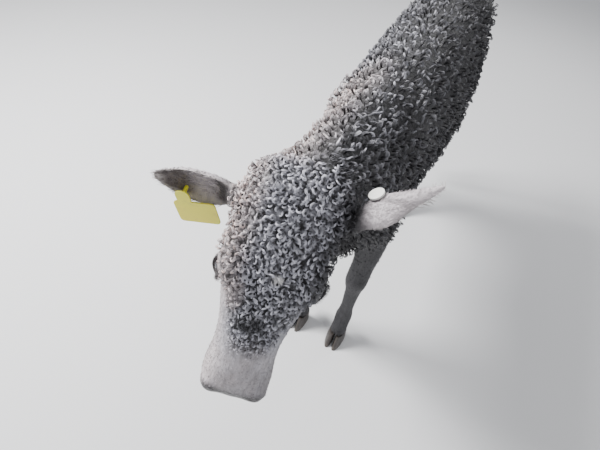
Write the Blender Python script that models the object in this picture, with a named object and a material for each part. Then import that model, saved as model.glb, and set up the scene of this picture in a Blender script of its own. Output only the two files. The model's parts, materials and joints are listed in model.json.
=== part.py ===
"""A young hornless bull with a curly coat, standing, with an ear tag in each ear.

The body is modelled whole from named masses in its own frame: x to the animal's left, y towards the tail,
z up from the floor, metres. Thin cuts part it into nodes. At the end everything is moved so that the origin
lies on the floor under the middle of the whole model.
"""

import bpy
import bmesh
import math
import random
from mathutils import Matrix, Vector

# Gap kept between touching pieces, and the thickness of the cuts that part the body
GAP = 0.0003

# Coat: depth from skin to tips on the trunk, neck and head, and the share of it that is solid core
COAT_TRUNK = 0.022
COAT_NECK = 0.020
COAT_HEAD = 0.016
COAT_SHORT = 0.002
CORE_SHARE = 0.4

# Voxel of the melted skin, and triangles of the whole body before the clumps
VOXEL = 0.006
BODY_TRIANGLES = 5000

# Curl clumps: least distance between roots on the trunk, neck and head
SPACING_TRUNK = 0.099
SPACING_NECK = 0.072
SPACING_HEAD = 0.041
# Half length, half width and sideways bend of a clump as shares of its spacing, and how far sizes vary
CLUMP_LENGTH = 0.58
CLUMP_WIDTH = 0.42
CLUMP_BEND = 0.22
CLUMP_VARY = 0.12
# Half height of a clump as a share of the coat outside its core, and the most it turns off the coat's lie
CLUMP_DEEP = 1.12
CLUMP_TURN = 0.9
CLUMP_SEED = 11
# Clumps stand where at least this share of the curly coat is reached, and this far from the ears' axes
LEAST_CURL = 0.62
EAR_CLEARANCE = 0.044
# The way the coat lies on the trunk and neck
COAT_LIE = Vector((0.0, 1.0, -0.45))

# Curly coat, where it fades: height on the trunk, ends of the neck and face past the head cut, tail
CURLS_RISE = (0.470, 0.580)
CURLS_NECK_END = (0.00, 0.05)
CURLS_FACE_START = (-0.02, 0.01)
CURLS_FACE_END = (0.22, 0.29)
CURLS_FACE_DEPTH = (-0.070, -0.040)
CURLS_TAIL_BACK = (0.540, 0.562)
CURLS_TAIL_SIDE = (0.026, 0.044)
# Half width of the curls on the poll, what it loses down the face, over which way, and half its soft edge
CURLS_WIDTH = 0.088
CURLS_NARROWING = 0.066
CURLS_NARROWS = (0.05, 0.28)
CURLS_EDGE = 0.011
# Ways over which the coat's depth and the clumps' spacing pass from trunk to neck and from neck to head
NECK_DEPTH_FADE = (0.34, 0.44)
HEAD_DEPTH_FADE = (-0.03, 0.05)
NECK_SPACING_FADE = (0.34, 0.46)
HEAD_SPACING_FADE = (-0.02, 0.03)

# Trunk
WITHERS_Y = -0.280
WITHERS_Z = 0.920
HIP_Y = 0.310
PIN_Y = 0.475
# y, middle height, height above it, depth below it, half width
TRUNK = (
    (-0.500, 0.680, 0.040, 0.045, 0.032),
    (-0.480, 0.685, 0.105, 0.110, 0.068),
    (-0.430, 0.700, 0.165, 0.165, 0.094),
    (-0.360, 0.712, 0.196, 0.195, 0.106),
    (WITHERS_Y, 0.715, WITHERS_Z - 0.715, 0.208, 0.113),
    (-0.170, 0.706, 0.206, 0.218, 0.126),
    (-0.030, 0.698, 0.206, 0.226, 0.140),
    (0.110, 0.698, 0.212, 0.218, 0.142),
    (0.220, 0.712, 0.207, 0.186, 0.134),
    (HIP_Y, 0.728, 0.200, 0.178, 0.124),
    (0.395, 0.744, 0.173, 0.168, 0.106),
    (PIN_Y, 0.757, 0.128, 0.130, 0.078),
    (0.498, 0.757, 0.070, 0.070, 0.042),
)

# Squareness of its rings across and upwards (1 is an ellipse), and narrowing to the top and to the bottom
TRUNK_SQUARE = (0.86, 0.90)
TRUNK_NARROWING = (0.16, 0.10)

# Neck, from the shoulders to the back of the skull: x, y, middle height, half height, half width
NECK = (
    (0.0, -0.300, 0.752, 0.162, 0.092),
    (0.0, -0.400, 0.774, 0.152, 0.086),
    (0.0, -0.500, 0.792, 0.138, 0.084),
    (0.0, -0.590, 0.812, 0.121, 0.077),
    (0.0, -0.665, 0.834, 0.098, 0.069),
    (0.0, -0.715, 0.846, 0.062, 0.052),
)
NECK_NARROWING = (0.20, 0.34)
NECK_LEAN = 0.16

# Head: place of the poll, turn to the animal's left, drop of the face below level, and side tilt
POLL = Vector((0.0, -0.741, 0.918))
HEAD_TURN = math.radians(1.8)
HEAD_DROP = math.radians(61.8)
HEAD_TILT = math.radians(-17.6)
HEAD_LENGTH = 0.385
# Share of the head's length, top and bottom measured out of the face plane, half width, widening to the top
SKULL = (
    (-0.060, -0.040, -0.105, 0.046, 0.10),
    (0.000, -0.012, -0.150, 0.067, 0.12),
    (0.120, -0.004, -0.182, 0.075, 0.14),
    (0.290, -0.001, -0.194, 0.076, 0.16),
    (0.400, -0.003, -0.190, 0.074, 0.16),
    (0.500, -0.009, -0.178, 0.067, 0.12),
    (0.600, -0.016, -0.164, 0.060, 0.04),
    (0.700, -0.021, -0.152, 0.055, -0.04),
    (0.800, -0.024, -0.144, 0.054, -0.06),
    (0.880, -0.027, -0.140, 0.059, -0.04),
    (0.940, -0.033, -0.134, 0.060, -0.02),
    (0.980, -0.043, -0.126, 0.053, 0.00),
    (1.005, -0.060, -0.112, 0.040, 0.00),
)
SKULL_SQUARE = (0.80, 0.84)

# Line of the mouth: how far below the face plane, way down the face of its middle, half its turn, its wave,
# points along it, and depth of its groove
MOUTH_OUT = -0.106
MOUTH_DOWN = 0.290
MOUTH_TURN = math.radians(98.0)
MOUTH_WAVE = 0.004
MOUTH_STEPS = 22
MOUTH_GROOVE = 0.0028

# Cuts: middle, way across, width and height
NECK_CUT = ((0.0, -0.425, 0.790), (0.0, -0.970, 0.240), 0.40, 0.66)
HEAD_CUT = ((0.0, -0.634, 0.815), (0.0, -0.938, -0.347), 0.224, 0.46)
TAIL_CUT = ((0.0, 0.593, 0.762), (0.0, 0.10, 1.0), 0.075, 0.064)
LEG_CUTS = (((0.090, -0.305, 0.462), 0.164, 0.24), ((0.092, 0.345, 0.462), 0.150, 0.30))

# Fewest faces of a closed surface that is one of the parts and no loose scrap
FEWEST_FACES = 80

# Solver of the Boolean operations, and the angle over which an edge is shown sharp
SOLVER = "MANIFOLD"
SHARP_ANGLE = math.radians(38.0)

# Rounds of smoothing on the trunk, and their share on the legs, the head and the tail
SMOOTH_ROUNDS = 84
SMOOTH_AGAIN = 0.15
SMOOTH_LEGS = 0.06
SMOOTH_HEAD = 0.05
SMOOTH_TAIL = 0.04
# Height over which smoothing passes from legs to trunk, way past the head cut, and limits of the tail
SMOOTH_RISE = (0.38, 0.54)
SMOOTH_FACE_START = (-0.06, 0.05)
SMOOTH_TAIL_BACK = (0.535, 0.562)
SMOOTH_TAIL_SIDE = (0.030, 0.052)

# Eye: place in the head frame (side, down the face, out of the face) and radius
EYE_SIDE = 0.0655
EYE_DOWN = 0.150
EYE_OUT = -0.046
EYE_RADIUS = 0.0180
LID_THICKNESS = 0.0042
# Way the eye looks and line of its lids in the head frame, and radii of the opening between the lids
EYE_LOOK = (0.86, 0.14, 0.46)
LID_LINE = (0.0, 0.92, -0.22)
LID_OPENING = (0.0160, 0.0165, 0.0100)
LID_OPENING_OUT = 0.95
LID_LONGER = 1.06

# Ears: for each hand the root in the head frame, the way the ear points and the way its cup opens
EARS = {
    1: ((0.074, 0.046, -0.052), (0.742, -0.645, 0.194), (0.380, 0.870, -0.330)),
    -1: ((-0.056, 0.046, -0.056), (-0.970, 0.160, -0.120), (0.050, 0.560, 0.800)),
}
# Share of the length, half width, half depth of the back, bulge of the front (minus is the cup)
EAR_LENGTH = 0.156
EAR_SHAPE = (
    (0.000, 0.017, 0.017, 0.017),
    (0.120, 0.018, 0.017, 0.015),
    (0.230, 0.022, 0.018, 0.006),
    (0.330, 0.029, 0.0195, -0.0105),
    (0.450, 0.034, 0.0200, -0.0145),
    (0.580, 0.035, 0.0185, -0.0135),
    (0.710, 0.031, 0.0155, -0.0110),
    (0.830, 0.023, 0.0115, -0.0070),
    (0.930, 0.014, 0.0075, -0.0038),
    (0.985, 0.006, 0.0045, -0.0010),
)
EAR_DROOP = 0.012
# How far the rims of each ear roll in towards the tip, and the share of the length over which they do
EAR_ROLL = {1: 0.50, -1: 0.0}
EAR_ROLLS = (0.40, 0.75)
# Distance from the head's middle, and size, of the cut that parts an ear from the head
EAR_CUT_SIDE = 0.096
EAR_CUT_SIZE = 0.086

# Legs: x is given for the left side; each joint is (x, y, z, radius)
FORELEG = (
    (0.070, -0.300, 0.545, 0.052),
    (0.071, -0.305, 0.470, 0.043),
    (0.069, -0.318, 0.365, 0.032),
    (0.067, -0.327, 0.295, 0.0325),
    (0.067, -0.324, 0.245, 0.0235),
    (0.067, -0.320, 0.155, 0.0200),
    (0.067, -0.320, 0.108, 0.0265),
    (0.067, -0.334, 0.072, 0.0245),
    (0.067, -0.345, 0.044, 0.0265),
)
HINDLEG = (
    (0.084, 0.270, 0.575, 0.076),
    (0.085, 0.320, 0.490, 0.058),
    (0.081, 0.382, 0.410, 0.039),
    (0.077, 0.432, 0.345, 0.034),
    (0.076, 0.428, 0.288, 0.0260),
    (0.075, 0.408, 0.180, 0.0220),
    (0.075, 0.396, 0.117, 0.0285),
    (0.075, 0.379, 0.077, 0.0250),
    (0.075, 0.366, 0.044, 0.0270),
)
HOCK_POINT = (0.078, 0.464, 0.382, 0.019)
# Places of other masses of the left side: centre and radii
BLADE = ((0.066, -0.318, 0.748), (0.042, 0.085, 0.150))
SHOULDER = ((0.062, -0.392, 0.640), (0.042, 0.075, 0.105))
UPPER_ARM = ((0.068, -0.335, 0.560), (0.042, 0.088, 0.095))
HIP = ((0.076, HIP_Y + 0.008, 0.852), (0.038, 0.060, 0.042))
PIN = ((0.046, 0.462, 0.810), (0.032, 0.036, 0.046))
THIGH = ((0.074, 0.352, 0.660), (0.058, 0.125, 0.178))
BLADE_LEAN = 0.347
THIGH_LEAN = 0.242
STIFLE = ((0.084, 0.258, 0.575), (0.042, 0.072, 0.095))
KNEE = ((0.067, -0.336, 0.300), (0.031, 0.026, 0.040))
HOCK_END = (0.077, 0.440, 0.312, 0.023)
TENDON_END = (0.080, 0.376, 0.520, 0.040)
DEWCLAWS = ((0.067, -0.294, 0.097), (0.075, 0.418, 0.105))
DEWCLAW_RADII = (0.0095, 0.0130, 0.0140)
DEWCLAW_ASIDE = 0.0135
# Masses on the middle line: centre and radii
BRISKET = ((0.0, -0.425, 0.585), (0.056, 0.095, 0.090))
TAIL_HEAD = ((0.0, 0.456, 0.866), (0.034, 0.062, 0.032))
SHEATH = ((0.0, 0.045, 0.462), (0.022, 0.080, 0.026))
SCROTUM = ((0.0, 0.322, 0.545), (0.024, 0.028, 0.040))
# Masses of the head's left side in the head frame: centre and radii
CHEEK = ((0.045, 0.128, -0.130), (0.028, 0.066, 0.056))
BROW = ((0.058, 0.128, -0.028), (0.024, 0.040, 0.024))
NOSTRIL_WING = ((0.036, 0.362, -0.058), (0.022, 0.022, 0.024))
CHIN = ((0.0, 0.340, -0.138), (0.033, 0.032, 0.019))
# Nostril cutter in the head frame
NOSTRIL = (0.034, 0.375, -0.056)
NOSTRIL_RADII = (0.017, 0.0125, 0.0075)
NOSTRIL_LEAN = (0.50, 0.80, -0.20)
NOSTRIL_RISE = (0.35, 0.0, 0.85)

# Hooves: middle of the left fore and hind hoof, height, length and width at the sole, gap between the claws
FORE_HOOF = (0.067, -0.352)
HIND_HOOF = (0.075, 0.358)
HOOF_TOP = 0.046
HOOF_LENGTH = 0.080
HOOF_WIDTH = 0.062
CLEFT = 0.0045
# Share of the hoof's height, shares of its length and width, for each ring of a claw
CLAW_RINGS = ((0.0, 0.97, 0.95), (0.12, 1.0, 1.0), (0.6, 1.0, 1.0), (1.0, 1.0, 1.0))
TOE_SLOPE = 0.30
CLAW_TAPER = 0.16
CLAW_SQUEEZE = 0.30
CLAW_SQUARE = (0.75, 0.80)
CLAW_SIDES = 12

# Tail, from inside the rump to the end of the switch: x, y, z, radius
TAIL = (
    (0.0, 0.440, 0.870, 0.026),
    (0.0, 0.508, 0.866, 0.0235),
    (0.0, 0.564, 0.832, 0.0205),
    (0.0, 0.592, 0.770, 0.0175),
    (0.0, 0.600, 0.665, 0.0145),
    (0.0, 0.600, 0.560, 0.0130),
    (0.0, 0.597, 0.480, 0.0180),
    (0.0, 0.594, 0.400, 0.0255),
    (0.0, 0.591, 0.330, 0.0245),
    (0.0, 0.589, 0.268, 0.0150),
    (0.0, 0.589, 0.238, 0.0060),
)

# Ear tags: where the stem goes through, as share of the ear's length, distance across it and depth
TAG_SHARE = {1: 0.42, -1: 0.69}
TAG_ACROSS = {1: -0.016, -1: 0.018}
TAG_DEPTH = 0.016
# From there to the back button and to the front piece, radii of stem and button, thickness of both
TAG_BACK = 0.0095
TAG_FRONT = 0.0190
TAG_STEM = 0.0030
TAG_BUTTON = 0.0120
BUTTON_THICKNESS = 0.0030
TAG_THICKNESS = 0.0022
# Panel of the right ear's tag: the way its long edge runs (left, down the face), its length and width, the
# neck between stem and panel, and where both lie from the stem, along that edge and below it
TAG_HANG = (0.955, -0.40)
TAG_LENGTH = 0.066
TAG_WIDTH = 0.048
PANEL_PLACE = (0.014, 0.036)
PANEL_CORNER = 0.0060
NECK_LENGTH = 0.022
NECK_WIDTH = 0.036
NECK_PLACE = (0.0, 0.0070)
NECK_CORNER = 0.0084

# A point well inside each part of the flesh on the middle line or the left side, to name the parts by
INSIDE = {"torso": (0.0, 0.05, 0.70), "neck": (0.0, -0.53, 0.80), "tail": (0.0, 0.59, 0.50)}
INSIDE_HEAD = (0.0, 0.15, -0.09)
INSIDE_FORELEG = (0.067, -0.32, 0.25)
INSIDE_HINDLEG = (0.078, 0.40, 0.27)
INSIDE_EAR = 0.55

# Block round the feet, up to the tops of the hooves: sizes
FEET_BLOCK = (1.0, 2.4, 0.3)


def head_axes():
    """Axes of the head: to its left, down the face, out of the face."""
    down = Vector((math.sin(HEAD_TURN) * math.cos(HEAD_DROP),
                   -math.cos(HEAD_TURN) * math.cos(HEAD_DROP),
                   -math.sin(HEAD_DROP)))
    left = Vector((math.cos(HEAD_TURN), math.sin(HEAD_TURN), 0.0))
    out = left.cross(down)
    if out.z < 0.0:
        out = -out
    turned_left = left * math.cos(HEAD_TILT) + out * math.sin(HEAD_TILT)
    turned_out = out * math.cos(HEAD_TILT) - left * math.sin(HEAD_TILT)
    return turned_left, down, turned_out


HEAD_LEFT, HEAD_FACE, HEAD_OUT = head_axes()


def on_head(side, along, out):
    """A point of the head frame in the body's frame."""
    return POLL + HEAD_LEFT * side + HEAD_FACE * along + HEAD_OUT * out


def off_head(point):
    """A point of the body's frame as side, down the face and out of the face."""
    away = point - POLL
    return away.dot(HEAD_LEFT), away.dot(HEAD_FACE), away.dot(HEAD_OUT)


def head_way(way, hand):
    """A way given in the head frame for the left side, of length one, on the side of a hand."""
    return (HEAD_LEFT * (way[0] * hand) + HEAD_FACE * way[1] + HEAD_OUT * way[2]).normalized()


def power(value, exponent):
    """A signed power, which squares off an ellipse."""
    return math.copysign(abs(value) ** exponent, value)


def finish(name, bm):
    """Turn a bmesh into an object with its faces pointing out."""
    bmesh.ops.recalc_face_normals(bm, faces=bm.faces)
    if bm.calc_volume(signed=True) < 0.0:
        bmesh.ops.reverse_faces(bm, faces=bm.faces)
    mesh = bpy.data.meshes.new(name)
    bm.to_mesh(mesh)
    bm.free()
    made = bpy.data.objects.new(name, mesh)
    bpy.context.scene.collection.objects.link(made)
    return made


def loft(name, rings, sides):
    """Skin a row of rings, each a function that gives the point at an angle."""
    bm = bmesh.new()
    turn = bm.verts.layers.float.new("turn")
    ring = bmesh.ops.create_circle(bm, cap_ends=True, segments=sides, radius=1.0)["verts"]
    for vertex in ring:
        vertex[turn] = math.atan2(vertex.co.y, vertex.co.x)
    edges = list(bm.edges)
    for vertex in ring:
        vertex.co = rings[0](vertex[turn])
    for shape in rings[1:]:
        made = bmesh.ops.extrude_edge_only(bm, edges=edges)["geom"]
        edges = [part for part in made if isinstance(part, bmesh.types.BMEdge) and part.is_boundary]
        for vertex in made:
            if isinstance(vertex, bmesh.types.BMVert):
                vertex.co = shape(vertex[turn])
    bmesh.ops.edgeloop_fill(bm, edges=edges)
    return finish(name, bm)


def ball(name, centre, radii, axes=None, detail=3):
    """An ellipsoid, turned by three axes where they are given."""
    bm = bmesh.new()
    bmesh.ops.create_icosphere(bm, subdivisions=detail, radius=1.0)
    frame = Matrix.Identity(3)
    if axes:
        frame = Matrix(axes).transposed()
    for vertex in bm.verts:
        local = Vector([value * radius for value, radius in zip(vertex.co, radii)])
        vertex.co = Vector(centre) + frame @ local
    return finish(name, bm)


def limb(name, joints, sides=16, flatten=1.0):
    """A tube of round rings through a row of joints."""
    centres = [Vector(joint[:3]) for joint in joints]
    rings = []
    for index, joint in enumerate(joints):
        before = centres[max(index - 1, 0)]
        after = centres[min(index + 1, len(joints) - 1)]
        along = (after - before).normalized()
        aside = Vector((1.0, 0.0, 0.0))
        across = along.cross(aside).normalized()
        rings.append(lambda a, c=centres[index], s=aside, f=across, r=joint[3]:
                     c + s * (r * flatten * math.cos(a)) + f * (r * math.sin(a)))
    return loft(name, rings, sides)


def trunk_rings():
    """Deep oval rings of the trunk, narrower along the back."""
    rings = []
    for along, middle, above, below, half in TRUNK:
        def ring(a, y=along, z=middle, up=above, down=below, w=half):
            side = power(math.cos(a), TRUNK_SQUARE[0])
            rise = power(math.sin(a), TRUNK_SQUARE[1])
            height = up if rise > 0.0 else down
            narrowing = 1.0 - TRUNK_NARROWING[0] * max(rise, 0.0) - TRUNK_NARROWING[1] * max(-rise, 0.0)
            return Vector((w * side * narrowing, y, z + height * rise))
        rings.append(ring)
    return rings


def neck_rings():
    """Upright oval rings of the neck, drawn out below into the dewlap."""
    rings = []
    for side_x, along, middle, tall, half in NECK:
        def ring(a, x=side_x, y=along, z=middle, h=tall, w=half):
            side = math.cos(a)
            rise = math.sin(a)
            narrowing = 1.0 - NECK_NARROWING[0] * max(rise, 0.0) - NECK_NARROWING[1] * max(-rise, 0.0)
            lean = -NECK_LEAN * h * rise
            return Vector((x + w * side * narrowing, y + lean, z + h * rise))
        rings.append(ring)
    return rings


def skull_rings():
    """Rings of the head, square across the forehead and narrow along the jaw."""
    rings = []
    for share, top, bottom, half, spread in SKULL:
        def ring(a, f=share * HEAD_LENGTH, t=top, b=bottom, w=half, k=spread):
            side = power(math.cos(a), SKULL_SQUARE[0])
            rise = power(math.sin(a), SKULL_SQUARE[1])
            middle = 0.5 * (t + b)
            return on_head(w * side * (1.0 + k * rise), f, middle + 0.5 * (t - b) * rise)
        rings.append(ring)
    return rings


def evaluated(source, name):
    """A new object from the evaluated mesh of another, which is then removed."""
    bpy.context.view_layer.update()
    graph = bpy.context.evaluated_depsgraph_get()
    mesh = bpy.data.meshes.new_from_object(source.evaluated_get(graph))
    made = bpy.data.objects.new(name, mesh)
    bpy.context.scene.collection.objects.link(made)
    remove(source)
    return made


def remove(unwanted):
    """Take an object and its mesh out of the file."""
    mesh = unwanted.data
    bpy.data.objects.remove(unwanted, do_unlink=True)
    bpy.data.meshes.remove(mesh)


def fuse(name, pieces, voxel):
    """Melt overlapping masses into one skin."""
    bm = bmesh.new()
    for piece in pieces:
        bm.from_mesh(piece.data)
        remove(piece)
    whole = finish(name, bm)
    remesh = whole.modifiers.new("melt", "REMESH")
    remesh.mode = "VOXEL"
    remesh.voxel_size = voxel
    remesh.adaptivity = 0.0
    return evaluated(whole, name)


def thin(thick, name, triangles):
    """Collapse a mesh to about a number of triangles."""
    count = sum(len(polygon.vertices) - 2 for polygon in thick.data.polygons)
    decimate = thick.modifiers.new("thin", "DECIMATE")
    decimate.ratio = min(1.0, triangles / count)
    decimate.use_collapse_triangulate = True
    return evaluated(thick, name)


def combine(target, tools, operation, name, solver=SOLVER):
    """Union with, or difference by, a collection of closed objects, which are then removed."""
    group = bpy.data.collections.new(name + "_tools")
    bpy.context.scene.collection.children.link(group)
    for tool in tools:
        group.objects.link(tool)
    boolean = target.modifiers.new("combine", "BOOLEAN")
    boolean.operation = operation
    boolean.operand_type = "COLLECTION"
    boolean.collection = group
    boolean.solver = solver
    made = evaluated(target, name)
    for tool in list(group.objects):
        remove(tool)
    bpy.data.collections.remove(group)
    return made


def islands(whole):
    """The closed surfaces of a mesh, each as a list of face numbers, largest first."""
    bm = bmesh.new()
    bm.from_mesh(whole.data)
    bm.faces.ensure_lookup_table()
    seen = set()
    found = []
    for start in bm.faces:
        if start.index in seen:
            continue
        seen.add(start.index)
        pile = [start]
        group = []
        while pile:
            face = pile.pop()
            group.append(face.index)
            for edge in face.edges:
                for other in edge.link_faces:
                    if other.index not in seen:
                        seen.add(other.index)
                        pile.append(other)
        found.append(group)
    bm.free()
    found.sort(key=len, reverse=True)
    return found


def keep(whole, faces, name):
    """A new object from some faces of another."""
    wanted = set(faces)
    bm = bmesh.new()
    bm.from_mesh(whole.data)
    unwanted = [face for face in bm.faces if face.index not in wanted]
    bmesh.ops.delete(bm, geom=unwanted, context="FACES")
    bmesh.ops.triangulate(bm, faces=bm.faces)
    mesh = bpy.data.meshes.new(name)
    bm.to_mesh(mesh)
    bm.free()
    made = bpy.data.objects.new(name, mesh)
    bpy.context.scene.collection.objects.link(made)
    return made


def slab(name, centre, normal, width, height, thickness=GAP):
    """A thin upright or level plate that parts the body where it crosses it."""
    bm = bmesh.new()
    bmesh.ops.create_cube(bm, size=1.0)
    axis = Vector(normal).normalized()
    aside = Vector((1.0, 0.0, 0.0))
    aside = (aside - axis * aside.dot(axis)).normalized()
    across = axis.cross(aside)
    for vertex in bm.verts:
        x, y, z = vertex.co
        vertex.co = Vector(centre) + aside * (x * width) + across * (y * height) + axis * (z * thickness)
    return finish(name, bm)


def mirrored(joint, hand):
    """A joint of the left side put on the side of a hand, 1 for left and -1 for right."""
    return (joint[0] * hand,) + tuple(joint[1:])


def sided(mass, hand):
    """Centre and radii of a mass of the left side put on the side of a hand."""
    return mirrored(mass[0], hand), mass[1]


def tilted(angle):
    """Axes turned about the body's x axis."""
    cosine = math.cos(angle)
    sine = math.sin(angle)
    return (1.0, 0.0, 0.0), (0.0, cosine, sine), (0.0, -sine, cosine)


def head_ball(name, mass, hand=1):
    """An ellipsoid given in the head frame."""
    side, along, out = mirrored(mass[0], hand)
    return ball(name, on_head(side, along, out), mass[1], (HEAD_LEFT, HEAD_FACE, HEAD_OUT))


def body_masses():
    """The trunk, neck, head, limbs, tail and other masses of flesh as overlapping closed forms."""
    masses = [loft("trunk", trunk_rings(), 32), loft("neck_mass", neck_rings(), 24)]
    masses.append(loft("skull", skull_rings(), 32))
    for hand in (1, -1):
        masses.append(ball("blade", *sided(BLADE, hand), tilted(BLADE_LEAN)))
        masses.append(ball("shoulder", *sided(SHOULDER, hand)))
        masses.append(ball("upper_arm", *sided(UPPER_ARM, hand)))
        masses.append(ball("hip", *sided(HIP, hand)))
        masses.append(ball("pin", *sided(PIN, hand)))
        masses.append(ball("thigh", *sided(THIGH, hand), tilted(-THIGH_LEAN)))
        masses.append(ball("stifle", *sided(STIFLE, hand)))
        masses.append(ball("knee", *sided(KNEE, hand)))
        masses.append(limb("foreleg", [mirrored(joint, hand) for joint in FORELEG]))
        masses.append(limb("hindleg", [mirrored(joint, hand) for joint in HINDLEG]))
        masses.append(limb("hock", [mirrored(HOCK_POINT, hand), mirrored(HOCK_END, hand)]))
        masses.append(limb("tendon", [mirrored(HOCK_POINT, hand), mirrored(TENDON_END, hand)]))
        for mass in (CHEEK, BROW, NOSTRIL_WING):
            masses.append(head_ball("face", mass, hand))
        for aside in (DEWCLAW_ASIDE, -DEWCLAW_ASIDE):
            for middle, back, height in DEWCLAWS:
                place = ((middle + aside) * hand, back, height)
                masses.append(ball("dewclaw", place, DEWCLAW_RADII, detail=2))
    masses.append(head_ball("chin", CHIN))
    for mass in (BRISKET, TAIL_HEAD, SHEATH, SCROTUM):
        masses.append(ball("middle", *mass))
    masses.append(limb("tail", TAIL))
    return masses


def fade(value, start, end):
    """Smooth step from 0 at start to 1 at end."""
    share = min(max((value - start) / (end - start), 0.0), 1.0)
    return share * share * (3.0 - 2.0 * share)


def curls(point):
    """How far the curly coat covers a point of the skin, from 0 to 1."""
    side, along, out = off_head(point)
    ahead = past_head_cut(point)
    trunk = fade(point.z, *CURLS_RISE) * (1.0 - fade(ahead, *CURLS_NECK_END))
    width = CURLS_WIDTH - CURLS_NARROWING * fade(along, *CURLS_NARROWS)
    face = fade(ahead, *CURLS_FACE_START) * (1.0 - fade(along, *CURLS_FACE_END))
    face *= 1.0 - fade(abs(side), width - CURLS_EDGE, width + CURLS_EDGE)
    face *= fade(out, *CURLS_FACE_DEPTH)
    on_tail = fade(point.y, *CURLS_TAIL_BACK) * (1.0 - fade(abs(point.x), *CURLS_TAIL_SIDE))
    return max(face, trunk * (1.0 - on_tail))


def coat_depth(point):
    """Distance from skin to the tips of the coat at a point of the skin."""
    full = COAT_TRUNK + (COAT_NECK - COAT_TRUNK) * fade(-point.y, *NECK_DEPTH_FADE)
    full += (COAT_HEAD - full) * fade(past_head_cut(point), *HEAD_DEPTH_FADE)
    return COAT_SHORT + (full - COAT_SHORT) * curls(point)


def past_head_cut(point):
    """Distance in front of the plane that parts head and neck."""
    middle, normal = HEAD_CUT[:2]
    return (point - Vector(middle)).dot(Vector(normal))


def evenness(point):
    """Share of the smoothing rounds that a point of the skin takes part in."""
    trunk = fade(point.z, *SMOOTH_RISE)
    share = SMOOTH_LEGS + (1.0 - SMOOTH_LEGS) * trunk
    share += (SMOOTH_HEAD - share) * fade(past_head_cut(point), *SMOOTH_FACE_START)
    on_tail = fade(point.y, *SMOOTH_TAIL_BACK) * (1.0 - fade(abs(point.x), *SMOOTH_TAIL_SIDE))
    return share + (SMOOTH_TAIL - share) * on_tail


def smooth_skin(skin, part_of):
    """Even out the melted masses: most on the trunk and neck, least on the face and feet."""
    rounds = round(SMOOTH_ROUNDS * part_of)
    bm = bmesh.new()
    bm.from_mesh(skin.data)
    shares = [(vertex, evenness(vertex.co)) for vertex in bm.verts]
    for step in range(rounds):
        moved = [vertex for vertex, share in shares if share * rounds > step]
        bmesh.ops.smooth_vert(bm, verts=moved, factor=0.5,
                              use_axis_x=True, use_axis_y=True, use_axis_z=True)
    bm.to_mesh(skin.data)
    bm.free()


def grow(skin, share):
    """Move the skin out along its normals by a share of the coat's depth."""
    bm = bmesh.new()
    bm.from_mesh(skin.data)
    bm.normal_update()
    moved = [(vertex, vertex.co + vertex.normal * (coat_depth(vertex.co) * share)) for vertex in bm.verts]
    for vertex, place in moved:
        vertex.co = place
    bm.to_mesh(skin.data)
    bm.free()


def spacing(point):
    """Least distance between the roots of clumps near a point."""
    wide = SPACING_TRUNK + (SPACING_NECK - SPACING_TRUNK) * fade(-point.y, *NECK_SPACING_FADE)
    return wide + (SPACING_HEAD - wide) * fade(past_head_cut(point), *HEAD_SPACING_FADE)


def lie(point, normal):
    """The way the coat lies: down the face on the head, back and down elsewhere."""
    way = HEAD_FACE if past_head_cut(point) > 0.0 else COAT_LIE
    return (way - normal * way.dot(normal)).normalized()


def clump_roots(skin, chance):
    """Places and normals of the clumps, in random order and no nearer than their spacing."""
    ears = []
    for hand in (1, -1):
        root, along, across, opening = ear_frame(hand)
        ears += [root + along * (EAR_LENGTH * step / 8.0) for step in range(9)]
    order = list(range(len(skin.data.vertices)))
    chance.shuffle(order)
    roots = []
    for index in order:
        place = skin.data.vertices[index].co.copy()
        if curls(place) < LEAST_CURL or min((place - ear).length for ear in ears) < EAR_CLEARANCE:
            continue
        apart = spacing(place)
        if all((place - other).length > apart for other, normal in roots):
            roots.append((place, skin.data.vertices[index].normal.copy()))
    return roots


def clump(skin, place, normal, chance):
    """A rounded lock, longer than wide, bent sideways, laid along the skin and half sunk in it."""
    apart = spacing(place)
    way = Matrix.Rotation(chance.uniform(-CLUMP_TURN, CLUMP_TURN), 3, normal) @ lie(place, normal)
    aside = normal.cross(way)
    bend = chance.choice((1.0, -1.0)) * apart * CLUMP_BEND
    length = apart * CLUMP_LENGTH * chance.uniform(1.0 - CLUMP_VARY, 1.0 + CLUMP_VARY)
    width = apart * CLUMP_WIDTH * chance.uniform(1.0 - CLUMP_VARY, 1.0 + CLUMP_VARY)
    top = coat_depth(place) * (1.0 - CORE_SHARE)
    deep = top * CLUMP_DEEP
    bm = bmesh.new()
    bmesh.ops.create_icosphere(bm, subdivisions=1, radius=1.0)
    for vertex in bm.verts:
        x, y, z = vertex.co
        beside = place + way * (length * x) + aside * (width * y + bend * (x * x - 0.5))
        found, near, upright, face = skin.closest_point_on_mesh(beside)
        vertex.co = near + upright * (top + deep * (z - 1.0))
    return finish("clump", bm)


def ear_frame(hand):
    """Root, axis, way across and way the cup opens, in the body's frame."""
    root, axis, facing = EARS[hand]
    along = (HEAD_LEFT * axis[0] + HEAD_FACE * axis[1] + HEAD_OUT * axis[2]).normalized()
    opening = HEAD_LEFT * facing[0] + HEAD_FACE * facing[1] + HEAD_OUT * facing[2]
    opening = (opening - along * opening.dot(along)).normalized()
    return on_head(*root), along, along.cross(opening), opening


def ear(hand):
    """A leaf-shaped cup on a short round root."""
    root, along, across, opening = ear_frame(hand)
    rings = []
    for share, half, back, front in EAR_SHAPE:
        rolled = half * (1.0 - EAR_ROLL[hand] * fade(share, *EAR_ROLLS))

        def ring(a, s=share, w=rolled, d=back, f=front):
            bulge = math.sin(a)
            depth = -d * bulge if bulge > 0.0 else -f * bulge
            droop = -EAR_DROOP * s * s
            return root + along * (EAR_LENGTH * s) + across * (w * math.cos(a)) + opening * (depth + droop)
        rings.append(ring)
    return loft("ear", rings, 16)


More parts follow.
